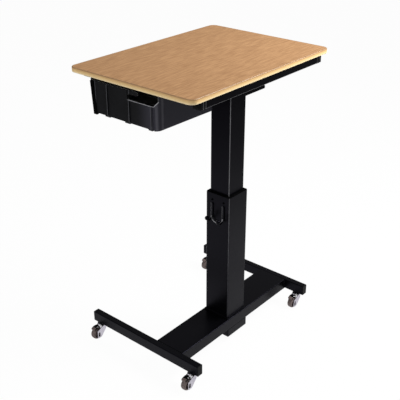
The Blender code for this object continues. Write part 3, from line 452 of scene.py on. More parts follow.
# %% Plastics and rubber
def moulded_plastic(name, dark, light, grain, depth, roughness, gloss):
    """Plastic with an etched grain: two close tones, a fine bump, and scuffs that catch the light."""
    material, graph, inputs, spot = new_finish(name, {"Specular IOR Level": gloss})
    cloud = graph.noise(spot, 22.0, 3.0)
    scuffs = graph.between(graph.noise(spot, (90.0, 90.0, 30.0), 4.0), 0.60, 0.80)
    share = graph.between(cloud, 0.3, 0.7) * 0.7 + 0.3 * scuffs
    graph.dress(inputs, graph.mixed(share, dark, light), roughness + 0.10 * cloud - 0.08 * scuffs,
                graph.bump(graph.noise(spot, grain, 2.0), depth, 0.5))
    return material


BOX_DARK = (0.0050, 0.0051, 0.0060)
BOX_LIGHT = (0.0068, 0.0069, 0.0082)
BOX_GRAIN = 1100.0  # waves of the etching to a metre
BOX_ETCHING = 0.0001  # its depth
BOX_ROUGHNESS = 0.44
BOX_GLOSS = 0.135
box_plastic = moulded_plastic(
    "charcoal_plastic", BOX_DARK, BOX_LIGHT, BOX_GRAIN, BOX_ETCHING, BOX_ROUGHNESS, BOX_GLOSS)
black_plastic = moulded_plastic(
    "black_plastic", (0.0020, 0.0020, 0.0023), (0.0042, 0.0042, 0.0047), 1500.0, 0.00006, 0.46, 0.10)
dull_black = moulded_plastic(
    "dull_black", (0.0010, 0.0010, 0.0011), (0.0022, 0.0022, 0.0024), 1500.0, 0.00006, 0.70, 0.02)
taupe_plastic = moulded_plastic(
    "taupe_plastic", (0.142, 0.104, 0.098), (0.182, 0.136, 0.128), 1300.0, 0.00006, 0.36, 0.45)
taupe_rubber = moulded_plastic(
    "taupe_rubber", (0.138, 0.103, 0.098), (0.182, 0.138, 0.131), 900.0, 0.00008, 0.50, 0.40)
print("plastics and rubber ready")


# %% Bare metals
def bare_metal(name, clean, dull, roughness, brushed):
    """Chrome or steel: metal all over, with smudges and a fine brushing along X."""
    material, graph, inputs, spot = new_finish(name, {"Metallic": 1.0})
    smudge = graph.between(graph.noise(spot, 70.0, 4.0, 0.6), 0.45, 0.75)
    lines = graph.noise(spot, (60.0, 1600.0, 1600.0), 2.0)
    graph.dress(inputs, graph.mixed(smudge, clean, dull), roughness + 0.12 * smudge + 0.08 * lines,
                graph.bump(lines, brushed, 0.4))
    return material


chrome = bare_metal("chrome", (0.74, 0.72, 0.78), (0.60, 0.585, 0.64), 0.07, 0.000008)
satin_chrome = bare_metal("satin_chrome", (0.56, 0.535, 0.60), (0.46, 0.44, 0.49), 0.30, 0.000012)
bright_chrome = bare_metal("bright_chrome", (0.97, 0.96, 0.98), (0.90, 0.89, 0.92), 0.50, 0.000004)
dark_steel = bare_metal("dark_steel", (0.090, 0.090, 0.095), (0.055, 0.055, 0.058), 0.30, 0.00002)
worn_steel = bare_metal("worn_steel", (0.270, 0.270, 0.285), (0.180, 0.180, 0.190), 0.26, 0.00002)
print("three kinds of chrome and two of steel")

# %% [markdown]
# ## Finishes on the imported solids
#
# Tubes, rails, plates and the gas spring are plain shapes, and CAD has them right. They keep their
# meshes, and only their material changes. Every node gets one here, also those that new pieces hide.

# %% Finishes for the nodes
CASTERS = ("left_back", "left_front", "right_back", "right_front")
ENDS = ("back", "front")
SIDES = ("left", "right")

FINISHES = [  # the first word that a node's name holds decides
    ("worktop_board", laminate), ("worktop_edge_band", edge_cream), ("book_box", box_plastic),
    ("outer_column", outer_coat), ("inner_column", inner_coat), ("upper_guide", dull_black),
    ("lower_guide", black_plastic), ("cylinder", black_plastic), ("_cap_", black_plastic),
    ("_rail", rail_coat), ("gas_spring_rod", chrome), ("fork", chrome), ("axle", chrome),
    ("gland", dark_steel), ("_nut", dark_steel), ("_pin", dark_steel), ("_screw", dark_steel),
    ("_wheel", taupe_rubber), ("_pedal", taupe_plastic), ("", coat),
]

for name, node in nodes.items():
    finish = next(finish for word, finish in FINISHES if word in name)
    for slot in node.material_slots:
        slot.material = finish
print("finished", len(nodes), "nodes in", len(FINISHES), "groups")

# %% [markdown]
# ## How a new piece joins the desk
#
# A piece is modelled in a bmesh, in the desk's own frame, so its object can stay at the origin. One
# helper turns it into an object, gives it its finish, smooths it except at sharp edges, and says which
# body it moves with and which solids it stands for.

# %% Piece helper
SHARP = math.radians(38)


def add_piece(name, shape, finish, body, stands_for=()):
    bmesh.ops.recalc_face_normals(shape, faces=shape.faces)
    mesh = finished_mesh(name, shape)
    mesh.materials.append(finish)
    mesh.shade_smooth()
    mesh.set_sharp_from_angle(angle=SHARP)
    piece = add_object(name, mesh)
    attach(piece, body)
    if stands_for:
        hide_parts(*stands_for)
    print("piece", name, len(mesh.polygons), "faces")
    return piece


def ease_edges(piece, width, angle):
    """Rounds every edge sharper than an angle with a modifier, and keeps the flats beside it flat."""
    ease = piece.modifiers.new("eased_edges", "BEVEL")
    ease.width = width
    ease.segments = 2
    ease.limit_method = "ANGLE"
    ease.angle_limit = math.radians(angle)
    ease.harden_normals = True


def round_edges(shape, edges, width, segments=2):
    return bmesh.ops.bevel(shape, geom=edges, offset=width, offset_type="OFFSET", segments=segments,
                           profile=0.5, affect="EDGES", material=-1, clamp_overlap=True)


def add_block(shape, low, high):
    """Adds a block between two corners to a bmesh and returns its vertices."""
    low, high = Vector(low), Vector(high)
    place = Matrix.Translation((low + high) / 2) @ Matrix.Diagonal((*(high - low), 1.0))
    return bmesh.ops.create_cube(shape, size=1.0, matrix=place)["verts"]


def edges_of(verts):
    return list({edge for vert in verts for edge in vert.link_edges})


def draw_out(shape, faces, offset):
    """Extrudes faces by an offset and returns the vertices of the new end."""
    drawn = bmesh.ops.extrude_face_region(shape, geom=faces, use_keep_orig=True)["geom"]
    tips = [part for part in drawn if isinstance(part, bmesh.types.BMVert)]
    bmesh.ops.translate(shape, vec=offset, verts=tips)
    return tips


print("piece helper ready")

# %% [markdown]
# ## The book box
#
# One moulding: an open box with rounded corners whose walls lean in a little, so that it leaves its
# mould. Its front is cut away in a scoop for the hand, and ribs stiffen it. Modelled as a thin skin, it
# can be cut with planes. Then a modifier gives the wall its thickness, and another eases every edge. The
# ribs are bars of their own that sit in the wall, which keeps the skin simple. So are the skids and the
# rim under its sole, and the lips that hang in its runners.

# %% Book box values
BOX_LENGTH = 0.274  # along X, at the rim
BOX_WALL = 0.003
BOX_LIP = 0.008
LIP_THICKNESS = 0.003
END_DRAFT = 0.001  # the front and the rear lean in by this, from rim to sole
FAR_LEAN = 0.010  # the far side leans in, the near one stands upright
SOLE_RISE = 0.0022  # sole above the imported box's lowest point
SOLE_ROUND = 0.002
BOX_CORNER = 0.022
SCOOP_DROP = 0.031  # rim to the scoop's ledge
SCOOP_OFFSET = 0.0127  # box's near side to the scoop
SCOOP_WIDTH = 0.104
SCOOP_SPLAY = 0.0107  # the near end of the scoop leans out by this
SCOOP_RISE = 0.014  # over this height
TAB_WIDTH = 0.040  # a tab of the wall stays over the scoop's far end
TAB_DROP = 0.012
RIB_OFFSET = 0.0175  # box's near side to the first rib
RIB_PITCH = 0.0943
RIB_WIDTH = 0.005
RIB_PROUD = 0.0026
RIB_ROOT = 0.004  # rib inside the front, and short of the sole and the rim

box_low, box_high = node_box("book_box")
rim = box_high.z
front = box_high.x - BOX_LENGTH
back = box_low.y + BOX_LIP
box_low.z += SOLE_RISE
box_size = Vector((BOX_LENGTH, box_high.y - box_low.y - 2 * BOX_LIP, rim - box_low.z))
box_middle = Vector((front, back, box_low.z)) + box_size / 2
ledge = rim - SCOOP_DROP
scoop_low = back + SCOOP_OFFSET
scoop_high = scoop_low + SCOOP_WIDTH
print("book box", tuple(round(value * 1000, 1) for value in box_size), "mm")


# %% Book box skin
def tapered_tub():
    """The open skin with its draft, rounded corners and rounded floor."""
    shape = bmesh.new()
    add_block(shape, box_middle - box_size / 2, box_middle + box_size / 2)
    sole = [vert for vert in shape.verts if vert.co.z < box_middle.z]
    draft = (1 - 2 * END_DRAFT / box_size.x, 1.0, 1.0)
    bmesh.ops.scale(shape, vec=draft, space=Matrix.Translation(-box_middle), verts=sole)
    far_sole = [vert for vert in sole if vert.co.y > box_middle.y]
    bmesh.ops.translate(shape, vec=(0, -FAR_LEAN, 0), verts=far_sole)
    shape.normal_update()
    opening = [face for face in shape.faces if face.normal.z > 0.9]
    bmesh.ops.delete(shape, geom=opening, context="FACES_ONLY")
    uprights = [edge for edge in shape.edges
                if abs(edge.verts[0].co.z - edge.verts[1].co.z) > box_size.z / 2]
    round_edges(shape, uprights, BOX_CORNER, 14)
    low_edges = [edge for edge in shape.edges
                 if max(vert.co.z for vert in edge.verts) < box_low.z + SOLE_ROUND / 2]
    round_edges(shape, low_edges, SOLE_ROUND, 3)
    return shape


tub = tapered_tub()
print("tub", len(tub.faces), "faces")

# %% Scoop and ribs
FRONT_REACH = front + 0.016  # only faces before this are cut
slope = Vector((0.0, SCOOP_RISE, SCOOP_SPLAY))
scoop_corner = Vector((front, scoop_low, ledge))

CUTS = [(scoop_corner, (0, 0, 1)), ((0, scoop_high, 0), (0, 1, 0)),
        ((0, scoop_low - SCOOP_SPLAY, 0), (0, 1, 0)), (scoop_corner, slope),
        ((0, scoop_high - TAB_WIDTH, 0), (0, 1, 0)), ((0, 0, rim - TAB_DROP), (0, 0, 1))]

for point, normal in CUTS:
    faces = [face for face in tub.faces if face.calc_center_median().x < FRONT_REACH]
    around = {part for face in faces for part in (*face.edges, *face.verts)}
    bmesh.ops.bisect_plane(tub, geom=faces + list(around), dist=1e-6, plane_co=point, plane_no=normal)


def in_scoop(point):
    beyond_splay = (point - scoop_corner).dot(slope) > 0 and point.y > scoop_low - SCOOP_SPLAY
    on_tab = point.y > scoop_high - TAB_WIDTH and point.z > rim - TAB_DROP
    below_rim = point.x < FRONT_REACH and point.z > ledge and point.y < scoop_high
    return below_rim and beyond_splay and not on_tab


scooped = [face for face in tub.faces if in_scoop(face.calc_center_median())]
bmesh.ops.delete(tub, geom=scooped, context="FACES")

ribs = bmesh.new()
for index in range(3):
    middle = back + RIB_OFFSET + index * RIB_PITCH
    top = rim - RIB_ROOT if index == 2 else ledge - RIB_ROOT / 2
    add_block(ribs, (front - RIB_PROUD, middle - RIB_WIDTH / 2, box_low.z + RIB_ROOT),
              (front + RIB_ROOT, middle + RIB_WIDTH / 2, top))
add_block(ribs, (front - RIB_PROUD, scoop_high, ledge),
          (front + RIB_ROOT, scoop_high + RIB_WIDTH, rim - RIB_ROOT))
round_edges(ribs, ribs.edges[:], 0.0008)
print("scoop cut,", len(tub.faces), "faces")

# %% Plastic with painted light
# painted highlights: thin lighter lines down the front, on the ribs, where they catch the light
RIB_EDGE_HIGHLIGHT = (0.110, 0.110, 0.123)
# painted highlight on the scoop's ledge and its slanted edge
RIM_HIGHLIGHT = (0.460, 0.460, 0.490)
# painted light: the inside of the skin lighter, as if lit through the scoop
INSIDE_LIT = (0.300, 0.305, 0.290)
# painted sheen: the near end lighter, as the lit floor shows in the plastic there
BOX_NEAR_SHEEN = (0.0380, 0.0370, 0.0490)
# painted highlight: light bands on the near corner's rounding and just past it
CORNER_BAND_HIGHLIGHT = (0.086, 0.084, 0.101)
HIGHLIGHT_LINES = (-0.0849, 0.0029, 0.0968, 0.1500)  # along Y, on the front
HIGHLIGHT_HALF = 0.0008
CORNER_BAND = (-0.1030, 0.0027)  # along Y: place and half width, on the near corner
FLANK_BAND = (front + BOX_CORNER + 0.0052, 0.0045)  # along X, just past that corner
RIB_SHADE = (-0.0915, 0.0013)  # along Y, the shaded side of the near rib
LEDGE_HALF = 0.0009
SPLAY_HALF = 0.0014


def line_at(graph, value, place, half_width):
    """1 on a line, 0 beside it, with soft borders."""
    return 1 - graph.between(abs(value - place), 0.5 * half_width, 1.5 * half_width)


def depth_in_box(graph, x, y, z):
    """How far a point lies inside the skin, with its draft and its rounded corners."""
    drop = (rim - z) * (1 / box_size.z)
    from_front = x - front - END_DRAFT * drop
    from_end = box_high.x - x - END_DRAFT * drop
    from_back = y - back
    from_far = back + box_size.y - y - FAR_LEAN * drop
    lacking_x = (BOX_CORNER - from_front.smallest(from_end)).largest(0.0)
    lacking_y = (BOX_CORNER - from_back.smallest(from_far)).largest(0.0)
    return from_front, BOX_CORNER - (lacking_x * lacking_x + lacking_y * lacking_y) ** 0.5


def plastic_with_painted_light():
    """The box's plastic, with highlights, light and shade painted into its colour."""
    fixed = {"Specular IOR Level": BOX_GLOSS}
    material, graph, inputs, spot = new_finish("charcoal_plastic_painted_light", fixed)
    x, y, z = graph.apart(spot)
    cloud = graph.noise(spot, 22.0, 3.0)
    colour = graph.mixed(graph.between(cloud, 0.3, 0.7), BOX_DARK, BOX_LIGHT)
    # painted sheen toward the near end
    colour = graph.mixed(graph.between(-1 * y, 0.02, 0.10), colour, BOX_NEAR_SHEEN)
    from_front, depth = depth_in_box(graph, x, y, z)
    # painted light on the inside of the skin
    inside = graph.between(depth, 0.001, 0.002) * graph.between(z, box_low.z + 0.001, box_low.z + 0.002)
    colour = graph.mixed(inside, colour, INSIDE_LIT)
    on_front = 1 - graph.between(from_front, 0.0015, 0.0035)
    # painted highlight lines on the ribs
    lines = line_at(graph, y, HIGHLIGHT_LINES[0], HIGHLIGHT_HALF)
    for place in HIGHLIGHT_LINES[1:]:
        lines = lines + line_at(graph, y, place, HIGHLIGHT_HALF)
    colour = graph.mixed(on_front * lines * (0.7 + 0.5 * cloud), colour, RIB_EDGE_HIGHLIGHT)
    # painted highlight bands on the near corner
    on_flank = 1 - graph.between(y, back + 0.001, back + 0.002)
    corner = line_at(graph, y, *CORNER_BAND).largest(on_flank * line_at(graph, x, *FLANK_BAND))
    colour = graph.mixed((1 - inside) * corner * (0.7 + 0.6 * cloud), colour, CORNER_BAND_HIGHLIGHT)
    colour = graph.mixed(0.85 * on_front * line_at(graph, y, *RIB_SHADE), colour, BLACK)
    # painted highlight along the ledge and the scoop's slanted edge
    below = line_at(graph, z, ledge, LEDGE_HALF) * graph.between(y, scoop_low - 0.001, scoop_low)
    below = below * (1 - graph.between(y, scoop_high, scoop_high + 0.002))
    across = (y - scoop_low) * SCOOP_RISE + (z - ledge) * SCOOP_SPLAY
    beside = line_at(graph, across * (1 / slope.length), 0.0, SPLAY_HALF)
    beside = beside * graph.between(z, ledge - 0.001, ledge)
    beside = beside * (1 - graph.between(z, ledge + SCOOP_RISE, ledge + SCOOP_RISE + 0.001))
    beside = beside * (1 - graph.between(y, scoop_low, scoop_low + 0.002))
    beside = beside * graph.between(y, scoop_low - SCOOP_SPLAY - 0.001, scoop_low - SCOOP_SPLAY)
    highlighted = (on_front * below).largest((1 - inside) * beside)
    colour = graph.mixed(highlighted, colour, RIM_HIGHLIGHT)
    etched = graph.bump(graph.noise(spot, BOX_GRAIN, 2.0), BOX_ETCHING, 0.5)
    graph.dress(inputs, colour, BOX_ROUGHNESS + 0.10 * cloud, etched)
    return material


box_painted_light = plastic_with_painted_light()
print("rubbed along", len(HIGHLIGHT_LINES), "lines and the scoop's rim")

# %% Book box piece
FLAT = math.radians(3)  # even the facets of the corners stay flat, which keeps the cut faces clean

bmesh.ops.remove_doubles(tub, verts=tub.verts, dist=1e-5)
bmesh.ops.dissolve_degenerate(tub, edges=tub.edges, dist=1e-5)
book_box = add_piece("book_box_shell", tub, box_painted_light, "box", ["book_box"])
book_box.data.set_sharp_from_angle(angle=FLAT)
wall = book_box.modifiers.new("wall", "SOLIDIFY")
wall.thickness = BOX_WALL
wall.offset = -1.0
wall.use_even_offset = True
ease_edges(book_box, 0.0006, 50)

add_piece("book_box_ribs", ribs, box_painted_light, "box")

lips = bmesh.new()
for edge_y, out in ((back, -1), (back + box_size.y, 1)):
    reach = sorted((edge_y - out * 0.001, edge_y + out * BOX_LIP))
    add_block(lips, (front + BOX_CORNER, reach[0], rim - LIP_THICKNESS),
              (box_high.x - BOX_CORNER, reach[1], rim))
round_edges(lips, lips.edges[:], 0.0007)
add_piece("book_box_lips", lips, box_plastic, "box")

# %% Book box skids
SKID_HEIGHT = 0.0036
SKIDS = [(0.0905, 0.1135), (0.0035, 0.0265), (-0.0905, -0.0725)]  # from and to, along Y
SKID_TAPER = (0.995, 0.90, 1.0)
STRIP = (0.1545, 0.1690)  # the dark flange at the far front corner, along Y
STRIP_PROUD = 0.003
STRIP_FOOT = 0.0050  # sole to the flange's lower end
STRIP_LEAN = 0.008

skids = bmesh.new()
for low_y, high_y in SKIDS:
    runner = add_block(skids, (front + END_DRAFT + 0.001, low_y, box_low.z - SKID_HEIGHT),
                       (box_high.x - END_DRAFT - 0.004, high_y, box_low.z + 0.001))
    sole = [vert for vert in runner if vert.co.z < box_low.z]
    middle = Vector((box_middle.x, (low_y + high_y) / 2, box_low.z))
    bmesh.ops.scale(skids, vec=SKID_TAPER, space=Matrix.Translation(-middle), verts=sole)
round_edges(skids, skids.edges[:], 0.0007)
add_piece("book_box_skids", skids, box_plastic, "box")

# The flange is dull black, and also stands in for the shade where the box's far corner turns away from
# the light.
strip = bmesh.new()
flange = add_block(strip, (front - STRIP_PROUD, STRIP[0], box_low.z - STRIP_FOOT),
                   (front + 0.006, STRIP[1], rim - 0.002))
sole = [vert for vert in flange if vert.co.z < box_low.z]
bmesh.ops.translate(strip, vec=(END_DRAFT, -STRIP_LEAN, 0), verts=sole)
round_edges(strip, strip.edges[:], 0.0009)
add_piece("book_box_flange", strip, dull_black, "box")

# %% Book box foot rim
RIM_DROP = 0.0021  # below the sole at its front end
RIM_REAR_DROP = 0.0026  # more than that at its rear end
RIM_ROOT = 0.001  # the part of the rim inside the sole
RIM_INSETS = (0.0002, 0.0090)  # the near wall to the rim's two faces
RIM_START = 25.0  # degrees round the corner at either end, from the box's front or rear


def arc_points(centre, across, up, radius, start, end, steps):
    """Points on an arc in the plane of two directions, from one angle in degrees to another."""
    spots = []
    for step in range(steps + 1):
        angle = math.radians(start + (end - start) * step / steps)
        turn = math.cos(angle) * Vector(across) + math.sin(angle) * Vector(up)
        spots.append(Vector(centre) + radius * turn)
    return spots


def ribbon(rows, offset):
    """A strip of faces between two rows of points, drawn out to a solid, and its far vertices."""
    shape = bmesh.new()
    loops = []
    for row in rows:
        verts = [shape.verts.new(spot) for spot in row]
        loops += [shape.edges.new(pair) for pair in zip(verts, verts[1:])]
    strip = bmesh.ops.bridge_loops(shape, edges=loops)["faces"]
    return shape, draw_out(shape, strip, offset)


def foot_rim():
    """The rim under the box's near side, which goes some way round the corner at either end."""
    turn = BOX_CORNER + END_DRAFT
    first = (front + turn, back + BOX_CORNER, box_low.z + RIM_ROOT)
    last = (box_high.x - turn, back + BOX_CORNER, box_low.z + RIM_ROOT)
    rows = []
    for inset in RIM_INSETS:
        radius = BOX_CORNER - inset
        row = arc_points(first, (-1, 0, 0), (0, -1, 0), radius, RIM_START, 90, 8)
        rows.append(row + arc_points(last, (1, 0, 0), (0, -1, 0), radius, 90, RIM_START, 8))
    shape, tips = ribbon(rows, (0, 0, -RIM_ROOT - RIM_DROP))
    rear = [vert for vert in tips if vert.co.x > box_middle.x]
    bmesh.ops.translate(shape, vec=(0, 0, -RIM_REAR_DROP), verts=rear)
    return shape


rim_piece = add_piece("book_box_foot_rim", foot_rim(), box_painted_light, "box")
ease_edges(rim_piece, 0.0006, 50)

# %% [markdown]
# ## The bag hooks
#
# Two steel straps are screwed to the column's left face. Each ends in a round prong that bends outward
# and carries a ball, so that a bag's loop can't slip off, and a bent rod joins the two. A prong is a
# circle that is drawn along its path one step at a time, which keeps every ring square to the path.

# %% Rods along a path
def add_rod(shape, path, radius, sides=10):
    """Draws a circle along a list of points and closes both ends."""
    points = [Vector(point) for point in path]
    aims = []
    for index in range(len(points)):
        before = points[max(index - 1, 0)]
        after = points[min(index + 1, len(points) - 1)]
        aims.append((after - before).normalized())
    start = aimed(points[0], aims[0], "Z")
    ring = bmesh.ops.create_circle(shape, radius=radius, segments=sides, matrix=start)["verts"]
    edges = edges_of(ring)
    bmesh.ops.holes_fill(shape, edges=edges, sides=0)
    for index in range(1, len(points)):
        drawn = bmesh.ops.extrude_edge_only(shape, edges=edges)["geom"]
        ring = [part for part in drawn if isinstance(part, bmesh.types.BMVert)]
        edges = [part for part in drawn if isinstance(part, bmesh.types.BMEdge)]
        turn = aims[index - 1].rotation_difference(aims[index]).to_matrix()
        bmesh.ops.translate(shape, vec=points[index] - points[index - 1], verts=ring)
        bmesh.ops.rotate(shape, cent=points[index], matrix=turn, verts=ring)
    bmesh.ops.holes_fill(shape, edges=edges, sides=0)


print("rod helper ready")


# %% Turned shapes
def turned(profile, centre, axis, steps=36):
    """Spins a section, given as (distance from the axis, place along it), once round."""
    shape = bmesh.new()
    along = Vector(axis).normalized()
    out = along.orthogonal().normalized()
    verts = [shape.verts.new(Vector(centre) + radius * out + place * along) for radius, place in profile]
    edges = [shape.edges.new(pair) for pair in zip(verts, verts[1:])]
    bmesh.ops.spin(shape, geom=verts + edges, cent=centre, axis=along, angle=2 * math.pi, steps=steps,
                   use_merge=True)
    bmesh.ops.remove_doubles(shape, verts=shape.verts, dist=1e-6)
    return shape


def add_turned(shape, profile, centre, axis, steps=20):
    """Adds a turned shape to a bmesh that holds others."""
    mesh = finished_mesh("turned", turned(profile, centre, axis, steps))
    shape.from_mesh(mesh)
    bpy.data.meshes.remove(mesh)


print("turning helper ready")

# %% Bag hooks
STRAP_WIDTH = 0.0095
STRAP_THICKNESS = 0.003
STRAP_GAP = 0.0002  # column to strap
STRAP_TOP = 0.556  # from the floor
STRAP_FOOT = 0.512
BEND_DROP = 0.004  # strap's foot to the middle of the prong's bend
HOOK_Y = (-0.0808, -0.1298)
PRONG_RADIUS = 0.0028
PRONG_REACH = 0.0295  # column face to the ball's middle
BALL_RADIUS = 0.0080
LINK_RADIUS = 0.0022

face_x = node_box("outer_column")[0].x
root_x = face_x - STRAP_THICKNESS / 2
face = face_x - STRAP_GAP
hooks = bmesh.new()
for middle_y in HOOK_Y:
    strap = add_block(hooks, (face - STRAP_THICKNESS, middle_y - STRAP_WIDTH / 2, STRAP_FOOT - BEND_DROP),
                      (face, middle_y + STRAP_WIDTH / 2, STRAP_TOP))
    ends = [edge for edge in edges_of(strap) if abs(edge.verts[0].co.x - edge.verts[1].co.x) > 0.001]
    round_edges(hooks, ends, 0.002, 3)
    reach = (PRONG_REACH - STRAP_THICKNESS / 2) / 2
    bend = (root_x - reach, middle_y, STRAP_FOOT - BEND_DROP)
    path = [Vector((root_x, middle_y, STRAP_FOOT + 0.010)), Vector((root_x, middle_y, STRAP_FOOT))]
    path += arc_points(bend, (1, 0, 0), (0, 0, -1), reach, 0, 175, 10)
    add_rod(hooks, path, PRONG_RADIUS)
    half_round = arc_points((0, 0, 0), (1, 0, 0), (0, 0, 1), BALL_RADIUS, -90, 90, 10)
    add_turned(hooks, [(spot.x, spot.z) for spot in half_round], path[-1], (0, 0, 1), 18)


def strap_edge_highlights(graph, spot):
    """The mask of a highlight painted along one edge of each strap, the edge that catches the light."""
    y = graph.apart(spot)[1]
    first, second = (line_at(graph, y, middle + STRAP_WIDTH / 2 - 0.0010, 0.0006) for middle in HOOK_Y)
    return first.largest(second)


hook_coat = powder_coat("powder_coat_hooks", BASE_GLOSS, strap_edge_highlights)
bag_hooks = add_piece("bag_hooks", hooks, hook_coat, "base",
                      ["front_bag_hook", "back_bag_hook"])
ease_edges(bag_hooks, 0.0004, 60)

# %% Hook link and screws
LINK_SAG = 0.86  # the link hangs a little flatter than half a circle
SCREW_HEIGHT = 0.568  # from the floor
SOCKET_PROFILE = [(0.0, 0.0001), (0.0028, 0.0001), (0.0030, 0.0010), (0.0036, 0.0010), (0.0040, 0.0006),
                  (0.0040, -0.0004), (0.0, -0.0004)]

centre = (face_x - STRAP_THICKNESS - LINK_RADIUS, sum(HOOK_Y) / 2, STRAP_FOOT - 0.005)
half_span = (HOOK_Y[0] - HOOK_Y[1]) / 2
link = bmesh.new()
add_rod(link, arc_points(centre, (0, 1, 0), (0, 0, -LINK_SAG), half_span, -6, 186, 18), LINK_RADIUS, 8)
add_piece("hook_link", link, worn_steel, "base")

hook_screws = bmesh.new()
for middle_y in HOOK_Y:
    add_turned(hook_screws, SOCKET_PROFILE, (face_x, middle_y, SCREW_HEIGHT), (-1, 0, 0))
add_piece("hook_screws", hook_screws, dull_black, "base",
          ["front_hook_screw", "back_hook_screw"])

# %% [markdown]
# ## The casters
#
# Each caster hangs from a stem under a foot. A black crown turns on the stem, two chromed cheeks hold
# the wheel, and a brake pedal with a taupe pad lies over it. The cheeks are flat plates with a slot for
# the axle: an outline and its slot are filled in one go, and drawn out to a plate. The wheel is turned,
# as on a lathe, by spinning half of its section round the axle.

# %% Caster values
TRAIL = 0.027  # stem to axle
WHEEL_RADIUS = 0.0225
CHEEK_INNER = 0.0112  # from the caster's middle plane
CHEEK_OUTER = 0.0142
CROWN_X = (-0.0090, 0.0082)  # from the stem
CROWN_Z = (0.0469, 0.0554)  # from the floor
CHEEK = [(0.008, 0.0335), (0.008, 0.0500), (-0.0024, 0.0492), (-0.0138, 0.0465), (-0.0335, 0.0370),
         (-0.0345, 0.0350), (-0.0345, 0.0090), (-0.0305, 0.0050), (-0.0180, 0.0050), (-0.0100, 0.0120)]
SLOT_MIDDLE = WHEEL_RADIUS - 0.003
SLOT_HALF = 0.0056  # slot's middle to the centre of its round end
SLOT_RADIUS = 0.0044
PEDAL_INNER = WHEEL_RADIUS + 0.003
PEDAL_OUTER = PEDAL_INNER + 0.0045

stem_places = {}
for caster in CASTERS:
    low, high = node_box(f"{caster}_caster_stem")
    stem_places[caster] = Vector(((low.x + high.x) / 2, (low.y + high.y) / 2, 0.0))


def at_stem(shape, caster):
    """Moves a shape that was made about the origin to a caster."""
    bmesh.ops.translate(shape, vec=stem_places[caster], verts=shape.verts)
    return shape


print("stems at", [tuple(round(value, 4) for value in place) for place in stem_places.values()])


# %% Fork cheeks and crown
def add_plate(shape, outline, holes, y_low, y_high):
    """A flat plate in the XZ plane between two y values, from an outline and its holes."""
    rim_edges = []
    for loop in (outline, *holes):
        verts = [shape.verts.new((x, y_low, z)) for x, z in loop]
        rim_edges += [shape.edges.new((verts[index - 1], verts[index])) for index in range(len(verts))]
    faces = bmesh.ops.triangle_fill(shape, edges=rim_edges, use_beauty=True, use_dissolve=False)["geom"]
    faces = [part for part in faces if isinstance(part, bmesh.types.BMFace)]
    draw_out(shape, faces, (0, y_high - y_low, 0))


def axle_slot(radius):
    """A slot with round ends, as (x, z) points round the axle's place."""
    points = []
    for centre, start in ((SLOT_MIDDLE + SLOT_HALF, 0), (SLOT_MIDDLE - SLOT_HALF, 180)):
        ring = arc_points((-TRAIL, 0, centre), (1, 0, 0), (0, 0, 1), radius, start, start + 180, 5)
        points += [(spot.x, spot.z) for spot in ring]
    return points


def fork_cheeks():
    shape = bmesh.new()
    for y_low, y_high in ((-CHEEK_OUTER, -CHEEK_INNER), (CHEEK_INNER, CHEEK_OUTER)):
        add_plate(shape, CHEEK, [axle_slot(SLOT_RADIUS)], y_low, y_high)
    return shape


def fork_crown():
    """The black block that turns on the stem, and a black bush in the slot of each cheek, which also
    stands in for the slot's shade.
    """
    shape = bmesh.new()
    half = CHEEK_OUTER - 0.0002
    block = add_block(shape, (CROWN_X[0], -half, CROWN_Z[0]), (CROWN_X[1], half, CROWN_Z[1]))
    round_edges(shape, edges_of(block), 0.0018, 3)
    # painted shade: the black bush fills each slot so that it shows dark
    for y in (-CHEEK_OUTER + 0.0004, CHEEK_INNER + 0.0002):
        add_plate(shape, axle_slot(SLOT_RADIUS - 0.0001), [], y, y + CHEEK_OUTER - CHEEK_INNER - 0.0006)
    return shape


for caster in CASTERS:
    body = f"{caster}_swivel"
    cheeks = add_piece(f"{caster}_fork_cheeks", at_stem(fork_cheeks(), caster), satin_chrome, body,
                       [f"{caster}_caster_fork"])
    ease_edges(cheeks, 0.0005, 50)
    add_piece(f"{caster}_fork_crown", at_stem(fork_crown(), caster), black_plastic, body)


# %% Wheels and axles
WHEEL_SIDE = [(0.0029, 0.0092), (0.0062, 0.0092), (0.0068, 0.0086), (0.0072, 0.0052), (0.0140, 0.0046),
              (0.0150, 0.0052), (0.0156, 0.0092), (0.0164, 0.0100), (0.0186, 0.0098), (0.0208, 0.0086),
              (0.0220, 0.0062), (0.0225, 0.0030)]
WHEEL_FAR_SIDE = [(radius, -place) for radius, place in reversed(WHEEL_SIDE)]
WHEEL_PROFILE = WHEEL_SIDE + WHEEL_FAR_SIDE + [WHEEL_SIDE[0]]
AXLE_PROFILE = [(0.0, -0.0139), (0.0020, -0.0139), (0.0024, -0.0135), (0.0024, 0.0135), (0.0020, 0.0139),
                (0.0, 0.0139)]

for caster, place in stem_places.items():
    centre = place + Vector((-TRAIL, 0, WHEEL_RADIUS))
    tyre = turned(WHEEL_PROFILE, centre, (0, 1, 0))
    add_piece(f"{caster}_tyre", tyre, taupe_rubber, f"{caster}_roller",
              [f"{caster}_wheel"])
    pin = turned(AXLE_PROFILE, centre, (0, 1, 0), 20)
    add_piece(f"{caster}_axle_pin", pin, dark_steel, f"{caster}_swivel",
              [f"{caster}_caster_axle"])


# %% Brake pedals
CREASE = math.radians(50)


def curved_plate(inner, outer, start, end, half_width, steps):
    """A plate bent round the wheel, as a strip that is drawn out to its width."""
    centre = (-TRAIL, -half_width, WHEEL_RADIUS)
    rows = []
    for radius in (inner, outer):
        rows.append(arc_points(centre, (1, 0, 0), (0, 0, 1), radius, start, end, steps))
    shape = ribbon(rows, (0, 2 * half_width, 0))[0]
    bmesh.ops.recalc_face_normals(shape, faces=shape.faces)
    return shape


def sharp_edges(shape):
    return [edge for edge in shape.edges if edge.is_manifold and edge.calc_face_angle() > CREASE]


